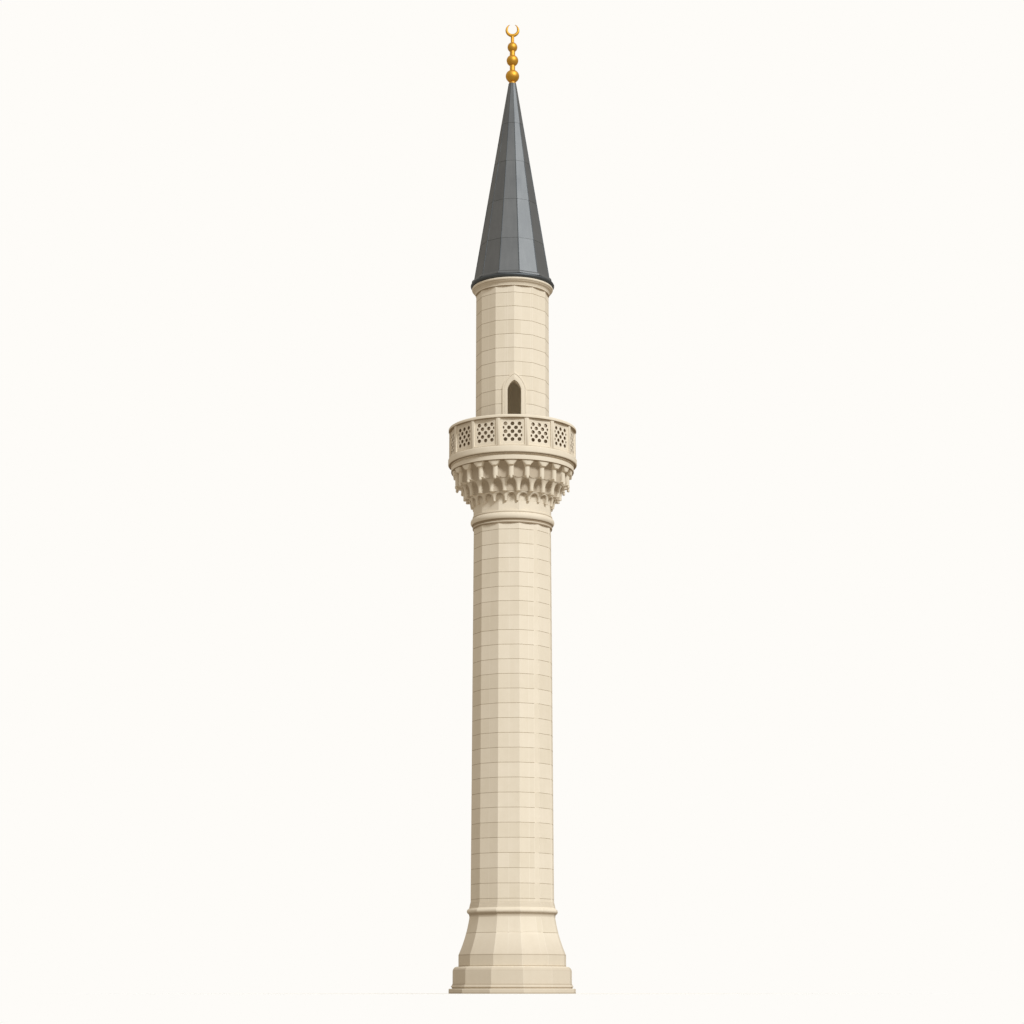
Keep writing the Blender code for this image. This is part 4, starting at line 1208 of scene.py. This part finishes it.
bm = bmesh.new()
for number in range(SIDES):
    angle = TOWER_TURN + number * SIDE_ANGLE
    low = polar(spire_radius(SPIRE_FOOT) - ROLL_SUNK, angle, SPIRE_FOOT)
    high = polar(SPIRE_HEAD_RADIUS - ROLL_SUNK, angle, head)
    run = high - low
    made = bmesh.ops.create_cone(
        bm, cap_ends=True, segments=10, radius1=ROLL_RADIUS, radius2=ROLL_RADIUS * 0.6,
        depth=run.length, matrix=Matrix.Translation((low + high) / 2)
        @ run.to_track_quat("Z", "Y").to_matrix().to_4x4())
# The arris rolls take the darker lead that paints their shade.
set_piece(bm, "spire_rolls", shade_darkened_lead, (), 40)


# Finial: hollow gilded copper, beaten round, threaded on a spindle: a collar, three balls on
# one stem, and a crescent with tapering horns that opens upwards.
COLLAR_RADIUS = 0.125
STEM_RADIUS = 0.094
NECK_STEM_RADIUS = 0.060
BALLS = ((32.015, 0.242, 0.235), (32.613, 0.209, 0.211), (33.125, 0.177, 0.186))
STEM_TOP = 33.54
CRESCENT_HEIGHT = 33.77
CRESCENT_RADIUS = 0.250
CRESCENT_INNER_RADIUS = 0.165
CRESCENT_SHIFT = 0.035
HORN_ANGLE = math.radians(23.0)
GOLD_BRIGHT = (0.79, 0.46, 0.08)
GOLD_DEEP = (0.57, 0.30, 0.04)


def gilding(name):
    """Old gold leaf: warm, softly mirroring, with deeper patches where it is rubbed."""
    finish = bpy.data.materials.new(name)
    finish.use_nodes = True
    tree = finish.node_tree
    shader = tree.nodes["Principled BSDF"]
    shader.inputs["Metallic"].default_value = 1.0
    where = node(tree, "TexCoord").outputs["Object"]
    patches = noise(tree, where, 6.0, 4.0)
    hammering = noise(tree, where, 22.0, 2.0)
    colour = blended(tree, weighted(tree, [(patches, 1.6)], -0.3), GOLD_DEEP, GOLD_BRIGHT)
    tree.links.new(colour, shader.inputs["Base Color"])
    tree.links.new(weighted(tree, [(patches, 0.2)], 0.47), shader.inputs["Roughness"])
    bump = node(tree, "Bump")
    bump.inputs["Strength"].default_value = 0.2
    bump.inputs["Distance"].default_value = 0.01
    tree.links.new(hammering, bump.inputs["Height"])
    tree.links.new(bump.outputs["Normal"], shader.inputs["Normal"])
    return finish


gold = gilding("old_gilding")
foot, head = levels("finial_stem")
profile = [(0.0, foot), (COLLAR_RADIUS - 0.01, foot), (COLLAR_RADIUS, foot + 0.012),
           (COLLAR_RADIUS, foot + 0.048), (COLLAR_RADIUS - 0.02, foot + 0.06)]
for number, (level, radius, half_height) in enumerate(BALLS):
    stem = STEM_RADIUS if number < len(BALLS) - 1 else NECK_STEM_RADIUS
    low = math.asin(STEM_RADIUS / radius)
    high = math.asin(stem / radius)
    for step in range(21):
        angle = (math.pi - low) + (high - (math.pi - low)) * step / 20
        profile.append((radius * math.sin(angle), level + half_height * math.cos(angle)))
profile += [(NECK_STEM_RADIUS, STEM_TOP), (0.0, STEM_TOP)]
set_piece(turned(profile, 64), "finial_balls", gold, ["finial_stem"], 35)


def horn_section(angle):
    """Middle radius and half thickness of the crescent at an angle from its opening."""
    shifted = CRESCENT_SHIFT * math.cos(angle)
    inner = shifted + math.sqrt(CRESCENT_INNER_RADIUS ** 2 - (CRESCENT_SHIFT * math.sin(angle)) ** 2)
    half = (CRESCENT_RADIUS - inner) / 2
    from_tip = min(angle, math.tau - angle) - HORN_ANGLE
    half *= min(1.0, 0.42 + from_tip / math.radians(70.0))
    return CRESCENT_RADIUS - half, half


bm = bmesh.new()
steps = 64
ring = bmesh.ops.create_circle(bm, cap_ends=True, segments=16, radius=1.0)["verts"]
section = [vert.co.copy() for vert in ring]
face = ring[0].link_faces[0]
for step in range(steps + 1):
    angle = HORN_ANGLE + (math.tau - 2 * HORN_ANGLE) * step / steps
    radius, half = horn_section(angle)
    if step > 0:
        made = bmesh.ops.extrude_face_region(bm, geom=[face])["geom"]
        old = face
        face = next(item for item in made if isinstance(item, bmesh.types.BMFace))
        if step > 1:
            bmesh.ops.delete(bm, geom=[old], context="FACES_ONLY")
    for vert, place_in_section in zip(face.verts, section):
        reach = radius + half * place_in_section.x
        vert.co = Vector((reach * math.sin(angle), half * 0.85 * place_in_section.y,
                          CRESCENT_HEIGHT + reach * math.cos(angle)))
bmesh.ops.recalc_face_normals(bm, faces=bm.faces)
set_piece(bm, "finial_moon", gold, ["finial_crescent"], 50)
